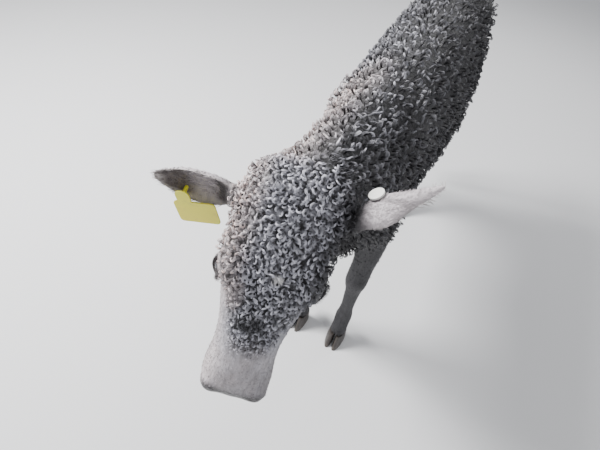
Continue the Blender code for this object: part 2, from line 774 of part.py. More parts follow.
def tag_plate(name, centre, along, across, normal, length, width, corner, thickness):
    """A flat plate with rounded corners."""
    bm = bmesh.new()
    bmesh.ops.create_cube(bm, size=1.0)
    for vertex in bm.verts:
        vertex.co = Vector((vertex.co.x * length, vertex.co.y * width, vertex.co.z * thickness))
    upright = [edge for edge in bm.edges if abs(edge.verts[0].co.z - edge.verts[1].co.z) > thickness * 0.5]
    bmesh.ops.bevel(bm, geom=upright, offset=corner, segments=3, profile=0.5, affect="EDGES", material=-1)
    for vertex in bm.verts:
        x, y, z = vertex.co
        vertex.co = centre + along * x + across * y + normal * z
    return finish(name, bm)


def disc(name, centre, normal, radius, thickness, sides=20):
    """A short round pin or button along a normal."""
    aside = normal.orthogonal().normalized()
    across = normal.cross(aside)
    half = thickness * 0.5

    def ring(height):
        middle = centre + normal * height
        return lambda a: middle + aside * (radius * math.cos(a)) + across * (radius * math.sin(a))
    return loft(name, (ring(-half), ring(half)), sides)


def tag(hand, name, extra=0.0):
    """Button, stem and front piece of an ear tag, larger by extra where it is a cutter."""
    root, along, across, opening = ear_frame(hand)
    lower = across if across.dot(HEAD_FACE) > 0.0 else -across
    middle = root + along * (EAR_LENGTH * TAG_SHARE[hand]) + lower * TAG_ACROSS[hand] - opening * TAG_DEPTH
    stem = middle + opening * ((TAG_FRONT - TAG_BACK) * 0.5)
    pieces = [disc("stem", stem, opening, TAG_STEM + extra, TAG_FRONT + TAG_BACK + 2.0 * extra, 12)]
    button = BUTTON_THICKNESS + 2.0 * extra
    back = disc(name, middle - opening * TAG_BACK, opening, TAG_BUTTON + extra, button)
    front = middle + opening * TAG_FRONT
    plate = TAG_THICKNESS + 2.0 * extra
    if hand < 0:
        hang = (HEAD_LEFT * TAG_HANG[0] + HEAD_FACE * TAG_HANG[1]).normalized()
        hang = (hang - opening * hang.dot(opening)).normalized()
        below = opening.cross(hang)
        below = below if below.dot(lower) > 0.0 else -below
        panel = front + hang * PANEL_PLACE[0] + below * PANEL_PLACE[1]
        pieces.append(tag_plate("panel", panel, hang, below, opening, TAG_LENGTH + 2.0 * extra,
                                TAG_WIDTH + 2.0 * extra, PANEL_CORNER, plate))
        neck = front + hang * NECK_PLACE[0] + below * NECK_PLACE[1]
        pieces.append(tag_plate("neck", neck, hang, below, opening, NECK_LENGTH + 2.0 * extra,
                                NECK_WIDTH + 2.0 * extra, NECK_CORNER, plate * 0.999))
    else:
        pieces.append(disc("cap", front, opening, TAG_BUTTON + extra, button))
    made = combine(back, pieces, "UNION", "tag")
    made.name = name
    return made


def eye_axes(hand):
    """Centre of the eyeball and the way it looks, with the line of its lids."""
    centre = on_head(EYE_SIDE * hand, EYE_DOWN, EYE_OUT)
    look = head_way(EYE_LOOK, hand)
    corner = head_way(LID_LINE, hand)
    corner = (corner - look * corner.dot(look)).normalized()
    return centre, look, corner, look.cross(corner)


def eyeball(hand, name, extra=0.0):
    """The eyeball, or its socket where extra is the gap."""
    centre, look, corner, brow = eye_axes(hand)
    radius = EYE_RADIUS + extra
    return ball(name, centre, (radius, radius, radius), (look, corner, brow))


def mouth_line(skin):
    """A thin wire round the muzzle where the lips meet, found on the skin's own surface."""
    joints = []
    inside = on_head(0.0, MOUTH_DOWN, MOUTH_OUT)
    for step in range(MOUTH_STEPS + 1):
        angle = MOUTH_TURN * (2.0 * step / MOUTH_STEPS - 1.0)
        way = (HEAD_FACE * math.cos(angle) + HEAD_LEFT * math.sin(angle)).normalized()
        rise = HEAD_OUT * (MOUTH_WAVE * math.cos(angle * 2.0))
        hit, place, normal, face = skin.ray_cast(inside + way * HEAD_LENGTH + rise, -way)
        joints.append(place)
    rings = []
    count = len(joints)
    for index in range(count):
        before = joints[max(index - 1, 0)]
        after = joints[min(index + 1, count - 1)]
        along = (after - before).normalized()
        aside = HEAD_OUT
        across = along.cross(aside).normalized()
        size = MOUTH_GROOVE * (0.35 + 0.65 * math.sin(math.pi * (index + 0.5) / count) ** 0.5)
        rings.append(lambda a, c=joints[index], s=aside, f=across, r=size:
                     c + s * (r * 0.7 * math.cos(a)) + f * (r * 1.5 * math.sin(a)))
    return loft("mouth", rings, 6)


def head_cutters(skin):
    """Eye sockets, openings between the lids, nostrils and the line of the mouth."""
    cutters = [mouth_line(skin)]
    for hand in (1, -1):
        centre, look, corner, brow = eye_axes(hand)
        cutters.append(eyeball(hand, "socket", GAP))
        cutters.append(ball("opening", centre + look * (EYE_RADIUS * LID_OPENING_OUT), LID_OPENING,
                            (look, corner, brow), detail=2))
        lean = head_way(NOSTRIL_LEAN, hand)
        rise = head_way(NOSTRIL_RISE, hand)
        rise = (rise - lean * rise.dot(lean)).normalized()
        place = on_head(*mirrored(NOSTRIL, hand))
        cutters.append(ball("nostril", place, NOSTRIL_RADII, (lean, rise, lean.cross(rise)), detail=2))
    return cutters


def claw(name, hand, inner, centre):
    """One claw of a hoof: flat sole, sloping toe, heel behind and a flat side at the cleft."""
    rings = []
    for share, longer, wider in CLAW_RINGS:
        height = (HOOF_TOP - GAP) * share
        length = HOOF_LENGTH * (1.0 - TOE_SLOPE * share) * longer
        width = (HOOF_WIDTH - CLEFT) * 0.5 * (1.0 - CLAW_TAPER * share) * wider
        toe = centre[1] + HOOF_LENGTH * (TOE_SLOPE * share - 0.5)

        def ring(a, z=height, l=length, w=width, t=toe):
            outward = power(math.cos(a), CLAW_SQUARE[0]) * 0.5 + 0.5
            back = power(math.sin(a), CLAW_SQUARE[1]) * 0.5 + 0.5
            squeeze = 1.0 - CLAW_SQUEEZE * (1.0 - back) * (1.0 - back)
            x = CLEFT * 0.5 + w * outward * squeeze
            return Vector(((centre[0] + x * inner) * hand, t + l * back, z))
        rings.append(ring)
    return loft(name, rings, CLAW_SIDES)


def part_cuts():
    """Thin plates where the neck, head, legs, tail and ears part from one another."""
    cuts = [slab("cut", *NECK_CUT), slab("cut", *HEAD_CUT), slab("cut", *TAIL_CUT)]
    for hand in (1, -1):
        for place, width, depth in LEG_CUTS:
            cuts.append(slab("cut", mirrored(place, hand), (0.0, 0.0, 1.0), width, depth))
        root, along, across, opening = ear_frame(hand)
        reach = (EAR_CUT_SIDE - abs(EARS[hand][0][0])) / abs(along.dot(HEAD_LEFT))
        cuts.append(slab("cut", root + along * reach, HEAD_LEFT * hand, EAR_CUT_SIZE, EAR_CUT_SIZE))
    return cuts


def feet_box():
    """A block that holds all below the tops of the hooves."""
    bm = bmesh.new()
    bmesh.ops.create_cube(bm, size=1.0)
    wide, long, tall = FEET_BLOCK
    for vertex in bm.verts:
        vertex.co = Vector((vertex.co.x * wide, vertex.co.y * long, (vertex.co.z - 0.5) * tall + HOOF_TOP))
    return finish("feet", bm)


def node_centres():
    """A point well inside each part of the flesh, to name it by."""
    places = {name: Vector(place) for name, place in INSIDE.items()}
    places["head"] = on_head(*INSIDE_HEAD)
    for hand, side in ((1, "left"), (-1, "right")):
        places["foreleg_" + side] = Vector(mirrored(INSIDE_FORELEG, hand))
        places["hindleg_" + side] = Vector(mirrored(INSIDE_HINDLEG, hand))
        root, along, across, opening = ear_frame(hand)
        places["ear_" + side] = root + along * (EAR_LENGTH * INSIDE_EAR)
    return places


def middle_of(whole, faces):
    """Middle of the box round some faces."""
    mesh = whole.data
    points = [mesh.vertices[index].co for face in faces for index in mesh.polygons[face].vertices]
    low = Vector([min(point[axis] for point in points) for axis in range(3)])
    high = Vector([max(point[axis] for point in points) for axis in range(3)])
    return (low + high) * 0.5


def name_parts(whole):
    """Split the cut body into its closed surfaces and name each by what it lies nearest to."""
    found = [faces for faces in islands(whole) if len(faces) >= FEWEST_FACES]
    middles = [middle_of(whole, faces) for faces in found]
    parts = []
    for name, place in node_centres().items():
        best = min(range(len(found)), key=lambda index: (middles[index] - place).length)
        parts.append(keep(whole, found[best], name))
    remove(whole)
    return parts


def material(name, colour, roughness):
    """A Principled material of one colour."""
    made = bpy.data.materials.new(name)
    made.use_nodes = True
    shader = made.node_tree.nodes["Principled BSDF"]
    shader.inputs["Base Color"].default_value = (*colour, 1.0)
    shader.inputs["Roughness"].default_value = roughness
    shader.inputs["Metallic"].default_value = 0.0
    return made


def dress(part):
    """Give a part its material by its name."""
    looks = {"claw": ("hoof", (0.030, 0.026, 0.024), 0.45), "eye": ("eye", (0.015, 0.010, 0.008), 0.08),
             "tag": ("tag", (0.85, 0.76, 0.06), 0.40), "ear": ("ear_hair", (0.10, 0.085, 0.080), 0.75)}
    name, colour, roughness = looks.get(part.name.split("_")[0], ("coat", (0.030, 0.028, 0.030), 0.80))
    existing = bpy.data.materials.get(name) or material(name, colour, roughness)
    part.data.materials.clear()
    part.data.materials.append(existing)
    part.data.shade_smooth()
    part.data.set_sharp_from_angle(angle=SHARP_ANGLE)


def settle(parts):
    """Move all parts so that the origin lies on the floor under the middle of their common box."""
    points = [vertex.co for part in parts for vertex in part.data.vertices]
    low = [min(point[axis] for point in points) for axis in range(3)]
    high = [max(point[axis] for point in points) for axis in range(3)]
    shift = Vector((-(low[0] + high[0]) * 0.5, -(low[1] + high[1]) * 0.5, -low[2]))
    for part in parts:
        part.data.transform(Matrix.Translation(shift))


def clear_scene():
    """Take away whatever the file opened with."""
    for old in list(bpy.data.objects):
        bpy.data.objects.remove(old, do_unlink=True)


def main():
    """Build the animal and place it in its frame."""
    clear_scene()
    skin = fuse("skin", body_masses(), VOXEL)
    smooth_skin(skin, 1.0)
    grow(skin, CORE_SHARE)
    skin = fuse("skin", [skin], VOXEL)
    smooth_skin(skin, SMOOTH_AGAIN)
    chance = random.Random(CLUMP_SEED)
    clumps = [clump(skin, place, normal, chance) for place, normal in clump_roots(skin, chance)]
    skin = thin(skin, "body", BODY_TRIANGLES)
    lids = []
    for hand in (1, -1):
        centre, look, corner, brow = eye_axes(hand)
        radius = EYE_RADIUS + LID_THICKNESS
        lids.append(ball("lids", centre, (radius, radius * LID_LONGER, radius), (look, corner, brow)))
    cutters = head_cutters(skin)
    skin = combine(skin, lids + [ear(1), ear(-1)] + clumps, "UNION", "body")
    skin = combine(skin, cutters + [feet_box()], "DIFFERENCE", "body")
    holes = [tag(hand, "hole", GAP) for hand in (1, -1)]
    skin = combine(skin, part_cuts() + holes, "DIFFERENCE", "body")
    parts = name_parts(skin)
    for hand, side in ((1, "left"), (-1, "right")):
        parts.append(eyeball(hand, "eye_" + side))
        parts.append(tag(hand, "tag_" + side))
        for inner, place in ((1, "outer"), (-1, "inner")):
            parts.append(claw("claw_front_%s_%s" % (side, place), hand, inner, FORE_HOOF))
            parts.append(claw("claw_rear_%s_%s" % (side, place), hand, inner, HIND_HOOF))
    settle(parts)
    for part in parts:
        dress(part)


main()
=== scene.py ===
"""Looks of a young polled bull: one skin, a curly coat, short fur, eyes, hooves, ear tags and the stage.

The forms are worked out in the body's own frame (x to the animal's left, y towards the tail, z up) and are
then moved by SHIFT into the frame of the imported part. Lengths are metres.
"""

import functools
import json
import math
import random

import bmesh
import bpy
from bpy.props import FloatProperty, FloatVectorProperty, IntProperty, PointerProperty
from mathutils import Matrix, Vector

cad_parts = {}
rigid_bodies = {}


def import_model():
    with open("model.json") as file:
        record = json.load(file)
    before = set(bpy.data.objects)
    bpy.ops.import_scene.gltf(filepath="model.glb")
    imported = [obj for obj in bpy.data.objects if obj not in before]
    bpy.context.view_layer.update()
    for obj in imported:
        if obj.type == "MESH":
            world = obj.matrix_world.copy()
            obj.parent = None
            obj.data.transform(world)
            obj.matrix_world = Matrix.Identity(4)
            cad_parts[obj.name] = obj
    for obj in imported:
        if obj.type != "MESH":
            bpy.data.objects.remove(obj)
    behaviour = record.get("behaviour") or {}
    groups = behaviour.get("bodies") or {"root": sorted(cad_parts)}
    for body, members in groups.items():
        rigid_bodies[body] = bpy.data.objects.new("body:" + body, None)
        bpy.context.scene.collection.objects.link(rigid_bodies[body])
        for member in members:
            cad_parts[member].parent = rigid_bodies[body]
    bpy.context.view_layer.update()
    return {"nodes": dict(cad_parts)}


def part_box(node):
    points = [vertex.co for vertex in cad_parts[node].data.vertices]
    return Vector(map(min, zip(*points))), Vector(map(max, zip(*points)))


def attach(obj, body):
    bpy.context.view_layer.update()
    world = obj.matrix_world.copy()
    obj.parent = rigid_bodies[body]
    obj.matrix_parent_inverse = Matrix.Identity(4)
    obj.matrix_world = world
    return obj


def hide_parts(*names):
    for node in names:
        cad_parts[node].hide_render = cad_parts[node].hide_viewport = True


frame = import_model()

bl_info = {
    "name": "Curly bull calf",
    "version": (1, 0, 0),
    "blender": (4, 5, 0),
    "location": "View3D > Sidebar > Bull",
    "description": "Skin, curly coat, eyes, hooves, ear tags and stage of a young polled bull",
    "category": "Object",
}

# The body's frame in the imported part: the fore hooves stand evenly about the middle line
FORE_TOE = -0.392
SHIFT = Vector((
    (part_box("claw_front_left_outer")[1].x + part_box("claw_front_right_outer")[0].x) * 0.5,
    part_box("claw_front_left_outer")[0].y - FORE_TOE,
    0.0,
))

# Photo's camera in the body's frame: place, and angles in degrees; lens in millimetres on a 36 mm sensor
CAMERA_PLACE = (0.144, -1.153, 1.312)
CAMERA_YAW = 18.34
CAMERA_PITCH = 46.05
CAMERA_ROLL = 10.9
CAMERA_LENS = 27.35

# Melting of the masses into one skin, and how strongly each region is evened out
VOXEL = 0.0060
SMOOTH_ROUNDS = 96
SMOOTH_LEGS = 0.06
SMOOTH_HEAD = 0.05
SMOOTH_TAIL = 0.04

# Trunk: y, middle height, height above it, depth below it, half width
TRUNK = (
    (-0.500, 0.680, 0.040, 0.045, 0.032),
    (-0.480, 0.685, 0.105, 0.110, 0.068),
    (-0.430, 0.700, 0.165, 0.165, 0.094),
    (-0.360, 0.712, 0.196, 0.195, 0.106),
    (-0.280, 0.715, 0.205, 0.208, 0.113),
    (-0.170, 0.706, 0.206, 0.218, 0.126),
    (-0.030, 0.698, 0.206, 0.226, 0.140),
    (0.110, 0.698, 0.212, 0.218, 0.142),
    (0.220, 0.712, 0.207, 0.186, 0.134),
    (0.310, 0.728, 0.200, 0.178, 0.124),
    (0.395, 0.744, 0.173, 0.168, 0.106),
    (0.475, 0.757, 0.128, 0.130, 0.078),
    (0.498, 0.757, 0.070, 0.070, 0.042),
)
TRUNK_SQUARE = (0.86, 0.90)
TRUNK_NARROWING = (0.16, 0.10)

# Neck: x, y, middle height, half height, half width
NECK = (
    (0.0, -0.300, 0.752, 0.162, 0.092),
    (0.0, -0.400, 0.774, 0.152, 0.086),
    (0.0, -0.500, 0.792, 0.138, 0.084),
    (0.0, -0.590, 0.812, 0.121, 0.077),
    (0.0, -0.665, 0.834, 0.098, 0.069),
    (0.0, -0.715, 0.846, 0.062, 0.052),
)
NECK_NARROWING = (0.20, 0.34)
NECK_LEAN = 0.16

# Head: poll, turn to the left, drop of the face, side tilt
POLL = Vector((0.0, -0.741, 0.918))
HEAD_TURN = math.radians(1.8)
HEAD_DROP = math.radians(61.8)
HEAD_TILT = math.radians(-17.6)
HEAD_LENGTH = 0.385
# Share of the head's length, top and bottom out of the face plane, half width, widening to the top
SKULL = (
    (-0.060, -0.040, -0.105, 0.046, 0.10),
    (0.000, -0.012, -0.150, 0.067, 0.12),
    (0.120, -0.004, -0.182, 0.075, 0.14),
    (0.290, -0.001, -0.194, 0.076, 0.16),
    (0.400, -0.003, -0.190, 0.074, 0.16),
    (0.500, -0.009, -0.178, 0.067, 0.12),
    (0.600, -0.016, -0.164, 0.060, 0.04),
    (0.700, -0.021, -0.152, 0.055, -0.04),
    (0.800, -0.024, -0.144, 0.054, -0.06),
    (0.880, -0.027, -0.140, 0.059, -0.04),
    (0.940, -0.033, -0.134, 0.060, -0.02),
    (0.980, -0.043, -0.126, 0.053, 0.00),
    (1.005, -0.060, -0.112, 0.040, 0.00),
)
SKULL_SQUARE = (0.80, 0.84)
# Middle of the plane between head and neck, and the way it faces
HEAD_PLANE = ((0.0, -0.634, 0.815), (0.0, -0.938, -0.347))

# Line of the mouth
MOUTH_OUT = -0.106
MOUTH_DOWN = 0.290
MOUTH_TURN = math.radians(98.0)
MOUTH_WAVE = 0.004
MOUTH_STEPS = 44
MOUTH_GROOVE = 0.0026

# Eyes, in the head frame (side, down the face, out of the face)
EYE_PLACE = (0.0655, 0.150, -0.046)
EYE_RADIUS = 0.0180
EYE_LOOK = (0.86, 0.14, 0.46)
LID_LINE = (0.0, 0.92, -0.22)
LID_THICKNESS = 0.0042
LID_OPENING = (0.0160, 0.0165, 0.0100)

# Ears: root in the head frame, the way the ear points and the way its cup opens
EARS = {
    1: ((0.074, 0.046, -0.052), (0.742, -0.645, 0.194), (0.380, 0.870, -0.330)),
    -1: ((-0.056, 0.046, -0.056), (-0.970, 0.160, -0.120), (0.050, 0.560, 0.800)),
}
EAR_LENGTH = 0.156
# Share of the length, half width, depth of the back, bulge of the front (minus is the cup)
EAR_SHAPE = (
    (0.000, 0.017, 0.017, 0.017),
    (0.120, 0.018, 0.017, 0.015),
    (0.230, 0.022, 0.018, 0.006),
    (0.330, 0.029, 0.0195, -0.0105),
    (0.450, 0.034, 0.0200, -0.0145),
    (0.580, 0.035, 0.0185, -0.0135),
    (0.710, 0.031, 0.0155, -0.0110),
    (0.830, 0.023, 0.0115, -0.0070),
    (0.930, 0.014, 0.0075, -0.0038),
    (0.985, 0.006, 0.0045, -0.0010),
)
EAR_DROOP = 0.012
# How far the rims of each ear roll in towards the tip, and the share of the length over which they do
EAR_ROLL = {1: 0.50, -1: 0.0}
EAR_ROLLS = (0.40, 0.75)
# Rings of an ear, share of the length at the last one, and how far the skin's ear lies inside the solid one
EAR_RINGS = 26
EAR_END = 0.985
EAR_INSET = 0.0008
# Greatest distance of an ear's hair from its axis, shares where ear, cup and lie begin, and where it joins the head
EAR_REACH = 0.042
EAR_BEGINS = 0.12
CUP_BEGINS = 0.20
EAR_LIE_BEGINS = 0.15
EAR_JOINS = (0.082, 0.100)

# Legs of the left side: joints are (x, y, z, radius)
FORELEG = (
    (0.070, -0.300, 0.545, 0.052),
    (0.071, -0.305, 0.470, 0.043),
    (0.069, -0.318, 0.365, 0.032),
    (0.067, -0.327, 0.295, 0.0325),
    (0.067, -0.324, 0.245, 0.0235),
    (0.067, -0.320, 0.155, 0.0200),
    (0.067, -0.320, 0.108, 0.0265),
    (0.067, -0.334, 0.072, 0.0245),
    (0.067, -0.345, 0.044, 0.0265),
)
HINDLEG = (
    (0.084, 0.270, 0.575, 0.076),
    (0.085, 0.320, 0.490, 0.058),
    (0.081, 0.382, 0.410, 0.039),
    (0.077, 0.432, 0.345, 0.034),
    (0.076, 0.428, 0.288, 0.0260),
    (0.075, 0.408, 0.180, 0.0220),
    (0.075, 0.396, 0.117, 0.0285),
    (0.075, 0.379, 0.077, 0.0250),
    (0.075, 0.366, 0.044, 0.0270),
)
HOCK_POINT = (0.078, 0.464, 0.382, 0.019)
HOCK_END = (0.077, 0.440, 0.312, 0.023)
TENDON_END = (0.080, 0.376, 0.520, 0.040)
# Other masses of the left side: centre, radii and lean about the x axis
SIDE_MASSES = (
    ((0.066, -0.318, 0.748), (0.042, 0.085, 0.150), 0.347),
    ((0.062, -0.392, 0.640), (0.042, 0.075, 0.105), 0.0),
    ((0.068, -0.335, 0.560), (0.042, 0.088, 0.095), 0.0),
    ((0.076, 0.318, 0.852), (0.038, 0.060, 0.042), 0.0),
    ((0.046, 0.462, 0.810), (0.032, 0.036, 0.046), 0.0),
    ((0.074, 0.352, 0.660), (0.058, 0.125, 0.178), -0.242),
    ((0.084, 0.258, 0.575), (0.042, 0.072, 0.095), 0.0),
    ((0.067, -0.336, 0.300), (0.031, 0.026, 0.040), 0.0),
)
MIDDLE_MASSES = (
    ((0.0, -0.425, 0.585), (0.056, 0.095, 0.090)),
    ((0.0, 0.456, 0.866), (0.034, 0.062, 0.032)),
    ((0.0, 0.045, 0.462), (0.022, 0.080, 0.026)),
    ((0.0, 0.322, 0.545), (0.024, 0.028, 0.040)),
)
# Masses of the head's left side in the head frame: cheek, brow, wing of the nostril
FACE_MASSES = (
    ((0.045, 0.128, -0.130), (0.028, 0.066, 0.056)),
    ((0.058, 0.128, -0.028), (0.024, 0.040, 0.024)),
    ((0.036, 0.362, -0.058), (0.022, 0.022, 0.024)),
)
CHIN = ((0.0, 0.340, -0.138), (0.033, 0.032, 0.019))
NOSTRIL = (0.034, 0.375, -0.056)
NOSTRIL_RADII = (0.017, 0.0125, 0.0075)
NOSTRIL_LEAN = (0.50, 0.80, -0.20)
NOSTRIL_RISE = (0.35, 0.0, 0.85)
DEWCLAWS = ((0.067, -0.294, 0.097), (0.075, 0.418, 0.105))
DEWCLAW_RADII = (0.0095, 0.0130, 0.0140)
DEWCLAW_ASIDE = 0.0135
HOOF_TOP = 0.046

# Tail of flesh, from inside the rump to the end inside the switch
TAIL = (
    (0.0, 0.440, 0.870, 0.026),
    (0.0, 0.508, 0.866, 0.0225),
    (0.0, 0.564, 0.832, 0.0195),
    (0.0, 0.592, 0.770, 0.0160),
    (0.0, 0.600, 0.665, 0.0130),
    (0.0, 0.600, 0.560, 0.0115),
    (0.0, 0.597, 0.480, 0.0120),
    (0.0, 0.594, 0.400, 0.0125),
    (0.0, 0.591, 0.330, 0.0115),
    (0.0, 0.589, 0.290, 0.0070),
)

# Curly coat: where it fades, and how wide it lies on the forehead
CURLS_RISE = (0.430, 0.600)
CURLS_NECK_END = (-0.06, 0.06)
CURLS_FACE_START = (-0.02, 0.01)
CURLS_FACE_END = (0.23, 0.30)
CURLS_FACE_DEPTH = (-0.078, -0.048)
CURLS_TAIL_BACK = (0.540, 0.562)
CURLS_TAIL_SIDE = (0.026, 0.044)
CURLS_WIDTH = 0.090
CURLS_NARROWING = 0.062
CURLS_NARROWS = (0.05, 0.28)
CURLS_EDGE = 0.012
NECK_DEPTH_FADE = (0.34, 0.44)
HEAD_DEPTH_FADE = (-0.03, 0.05)

# Curls and tufts: how many locks make each group
LOCKS = 10
TUFTS = 6
LASH_TUFTS = 4
# Of the loose locks this many are curls, the others waves
WIDE_CURLS = 6
LOCK_STEPS = 6
LOCK_SIZES = (0.70, 1.14)
TIP_SWING = 0.12
# Densest scatter, as a share of the one that the least distance allows
DENSITY = 2.2
# From and to along y, in the body's frame, of the slices that carry one piece of the coat each
HEAD_SLICES = ((-2.0, -0.79), (-0.79, 2.0))
NECK_SLICES = ((-2.0, -0.56), (-0.56, -0.44))
TRUNK_SLICES = ((-0.44, -0.31), (-0.31, -0.19), (-0.19, -0.06), (-0.06, 0.07),
                (0.07, 0.20), (0.20, 0.33), (0.33, 0.70))
EAR_HAIR_APART = 0.0042
LASH_APART = 0.0011
LASH_LENGTH = 0.0088
SWITCH_APART = 0.0046
SWITCH_LENGTH = 0.088
SWITCH_BACK = 0.56
SWITCH_TOP = (0.46, 0.54)

# Marks of the face, in the head frame: side and distance down the face, then half width and half length
WHORL = (-0.009, 0.215)
WHORL_RADII = (0.020, 0.017)
PALE_OVAL = (-0.044, 0.175)
OVAL_RADII = (0.019, 0.034)
WHITE_TUFT = (0.009, 0.128)
TUFT_RADII = (0.0085, 0.0070)
# Painted highlight on the silvery tips of the forehead's top and the top line, with painted shade on the left side;
# painted warm light of right cheek and neck; pale hair of the nose: where each fades
HEAD_FADE = (-0.02, 0.04)
CROWN_SIDE = (0.030, 0.088)
CROWN_OUT = (-0.13, -0.03)
TOP_HEIGHT = (0.52, 0.90)
TOP_LEFT = (-0.04, 0.09)
TOP_BACK = (-0.45, 0.10)
TOP_FAR = (-0.08, 0.42)
CHEEK_SIDE = (0.030, 0.072)
CHEEK_OUT = (-0.150, -0.045)
NECK_SIDE = (-0.02, 0.06)
NECK_BACK = (-0.44, -0.20)
NECK_HEIGHT = (0.66, 0.86)
NOSE_DOWN = (0.235, 0.300)
NOSE_OUT = (-0.135, -0.050)
MARK_OUT = (-0.10, -0.05)
TUFT_OUT = (-0.08, -0.05)

# Colours that only vary the main ones
WARM_BLACK = (0.016, 0.014, 0.015)
TUFT_COLOUR = (0.85, 0.83, 0.83)
EAR_HAIR_LIGHT = (0.40, 0.37, 0.37)
EAR_RIM = (0.50, 0.46, 0.45)
EAR_SKIN = (0.09, 0.08, 0.08)
IRIS_STREAK = (0.075, 0.060, 0.062)
EYE_WHITE = (0.065, 0.060, 0.075)
PUPIL = (0.020, 0.028, 0.045)
HORN_BAND = (0.022, 0.019, 0.018)
HORN_WORN = (0.11, 0.095, 0.080)
TAG_WORN = (0.62, 0.56, 0.08)
BUTTON = (0.80, 0.80, 0.76)

# Folds of skin round the eyes: turns of the wave to a metre, and how far past the eyeball they fade
FOLDS_APART = 1900.0
FOLDS_FADE = (0.006, 0.016)
# Short hair on the skin is drawn out along its lie by this
COMBED = 0.22

# Width of the patch that each tuft fills on the unwrapped skin
PATCH = 0.003

# Hooves: middle of the left fore and hind hoof, sizes as in the solids, then share of the height and
# how long and wide the claw is there
HOOVES = {"front": (0.067, -0.352), "rear": (0.075, 0.358)}
HOOF_HEIGHT = 0.0457
HOOF_LENGTH = 0.080
HOOF_WIDTH = 0.062
CLEFT = 0.0045
TOE_SLOPE = 0.30
CLAW_TAPER = 0.16
CLAW_SQUARE = (0.75, 0.80)
CLAW_POINT = 0.30
CLAW_RINGS = (
    (0.0, 0.955, 0.93),
    (0.03, 0.985, 0.97),
    (0.12, 1.0, 1.0),
    (0.30, 1.0, 1.0),
    (0.55, 1.0, 1.0),
    (0.78, 1.0, 0.995),
    (0.94, 0.995, 0.985),
    (1.0, 0.97, 0.95),
)

# Lamps: name, place, what they point at, power in watts, width; and the light of the room
LIGHTS = (
    ("key", (-2.0, -0.5, 2.5), (0.0, -0.4, 0.75), 205.0, 1.0),
    ("fill", (1.9, -2.0, 1.9), (0.0, -0.3, 0.7), 22.0, 2.4),
    ("back", (0.2, 2.4, 2.4), (0.0, 0.1, 0.7), 40.0, 2.0),
)
ROOM_LIGHT = (0.86, 0.88, 0.92, 1.0)
ROOM_STRENGTH = 0.52

LEFTWARD = (1.0, 0.0, 0.0)
BACKWARD = (0.0, 1.0, 0.0)
UPWARD = (0.0, 0.0, 1.0)


def length(name, description, default):
    """A length that the panel shows."""
    return FloatProperty(name=name, description=description, default=default, unit="LENGTH")


def hue(name, description, *default):
    """A colour that the panel shows."""
    return FloatVectorProperty(name=name, description=description, default=default, subtype="COLOR", size=3)


class BullSizes(bpy.types.PropertyGroup):
    """Sizes of the coat and the stage."""
    coat_trunk: length("Coat on trunk", "Depth of the curls on the trunk", 0.022)
    coat_neck: length("Coat on neck", "Depth of the curls on the neck", 0.020)
    coat_head: length("Coat on head", "Depth of the curls on the forehead", 0.0155)
    curl_apart_trunk: length("Curls apart on trunk", "Least distance between roots", 0.0118)
    curl_apart_neck: length("Curls apart on neck", "Least distance between roots", 0.0088)
    curl_apart_head: length("Curls apart on head", "Least distance between roots", 0.0056)
    fur_length: length("Short fur", "Length of the short fur on the legs", 0.0090)
    fur_apart: length("Fur tufts apart", "Least distance between tufts on the legs", 0.0092)
    seed: IntProperty(name="Seed", description="Seed of all that is scattered", default=7)
    floor_size: length("Floor", "Width of the floor", 14.0)


class BullColours(bpy.types.PropertyGroup):
    """Colours of the coat, hooves, eyes and tags."""
    coat_dark: hue("Coat, deep", "Hair near the skin", 0.010, 0.010, 0.012)
    # Tip colour: silvery hair tips, made light enough to carry the painted highlight as well.
    coat_light: hue("Coat, tips", "Hair at the tips of the curls", 0.720, 0.715, 0.790)
    # The warm tint is painted warm light on the right cheek and neck.
    painted_warm_light: hue("Coat, warm", "Faded brown of some of the hair", 0.820, 0.680, 0.640)
    face_pale: hue("Face, pale", "Short pale hair of nose and eye rims", 0.620, 0.530, 0.520)
    ear_back: hue("Ear, back", "Hair on the backs of the ears", 0.56, 0.51, 0.53)
    ear_cup: hue("Ear, cup", "Skin and hair in the cups of the ears", 0.085, 0.066, 0.062)
    muzzle: hue("Muzzle", "Bare skin of the nose and lips", 0.030, 0.026, 0.028)
    iris: hue("Iris", "Dark iris", 0.030, 0.022, 0.020)
    horn: hue("Hoof", "Horn of the hooves", 0.060, 0.050, 0.044)
    tag: hue("Tag", "Plastic of the ear tags", 0.86, 0.80, 0.05)
    stage: hue("Stage", "The floor", 0.78, 0.78, 0.79)


# Shader and geometry nodes

class Value:
    """An output of a node tree that takes part in sums."""

    def __init__(self, tree, socket):
        self.tree = tree
        self.socket = socket

    def join(self, operation, first, second):
        """A Math node of this and another value or number."""
        return self.tree.add("ShaderNodeMath", {"operation": operation}, {0: first, 1: second})[0]

    def __add__(self, other):
        return self.join("ADD", self, other)

    def __radd__(self, other):
        return self.join("ADD", other, self)

    def __sub__(self, other):
        return self.join("SUBTRACT", self, other)

    def __rsub__(self, other):
        return self.join("SUBTRACT", other, self)

    def __mul__(self, other):
        return self.join("MULTIPLY", self, other)

    def __rmul__(self, other):
        return self.join("MULTIPLY", other, self)

    def __truediv__(self, other):
        return self.join("DIVIDE", self, other)

    def __pow__(self, other):
        return self.join("POWER", self, other)

    def least(self, other):
        return self.join("MINIMUM", self, other)

    def most(self, other):
        return self.join("MAXIMUM", self, other)

    def above(self, limit):
        return self.join("GREATER_THAN", self, limit)

    def below(self, limit):
        return self.join("LESS_THAN", self, limit)

    def step(self, low, high):
        """Smooth step from 0 at low to 1 at high."""
        return self.tree.add("ShaderNodeMapRange", {"interpolation_type": "SMOOTHSTEP"},
                             {"Value": self, "From Min": low, "From Max": high})[0]


class Made:
    """A node whose outputs are taken by name or number."""

    def __init__(self, tree, node):
        self.tree = tree
        self.node = node

    def __getitem__(self, key):
        return Value(self.tree, pick(self.node.outputs, key))


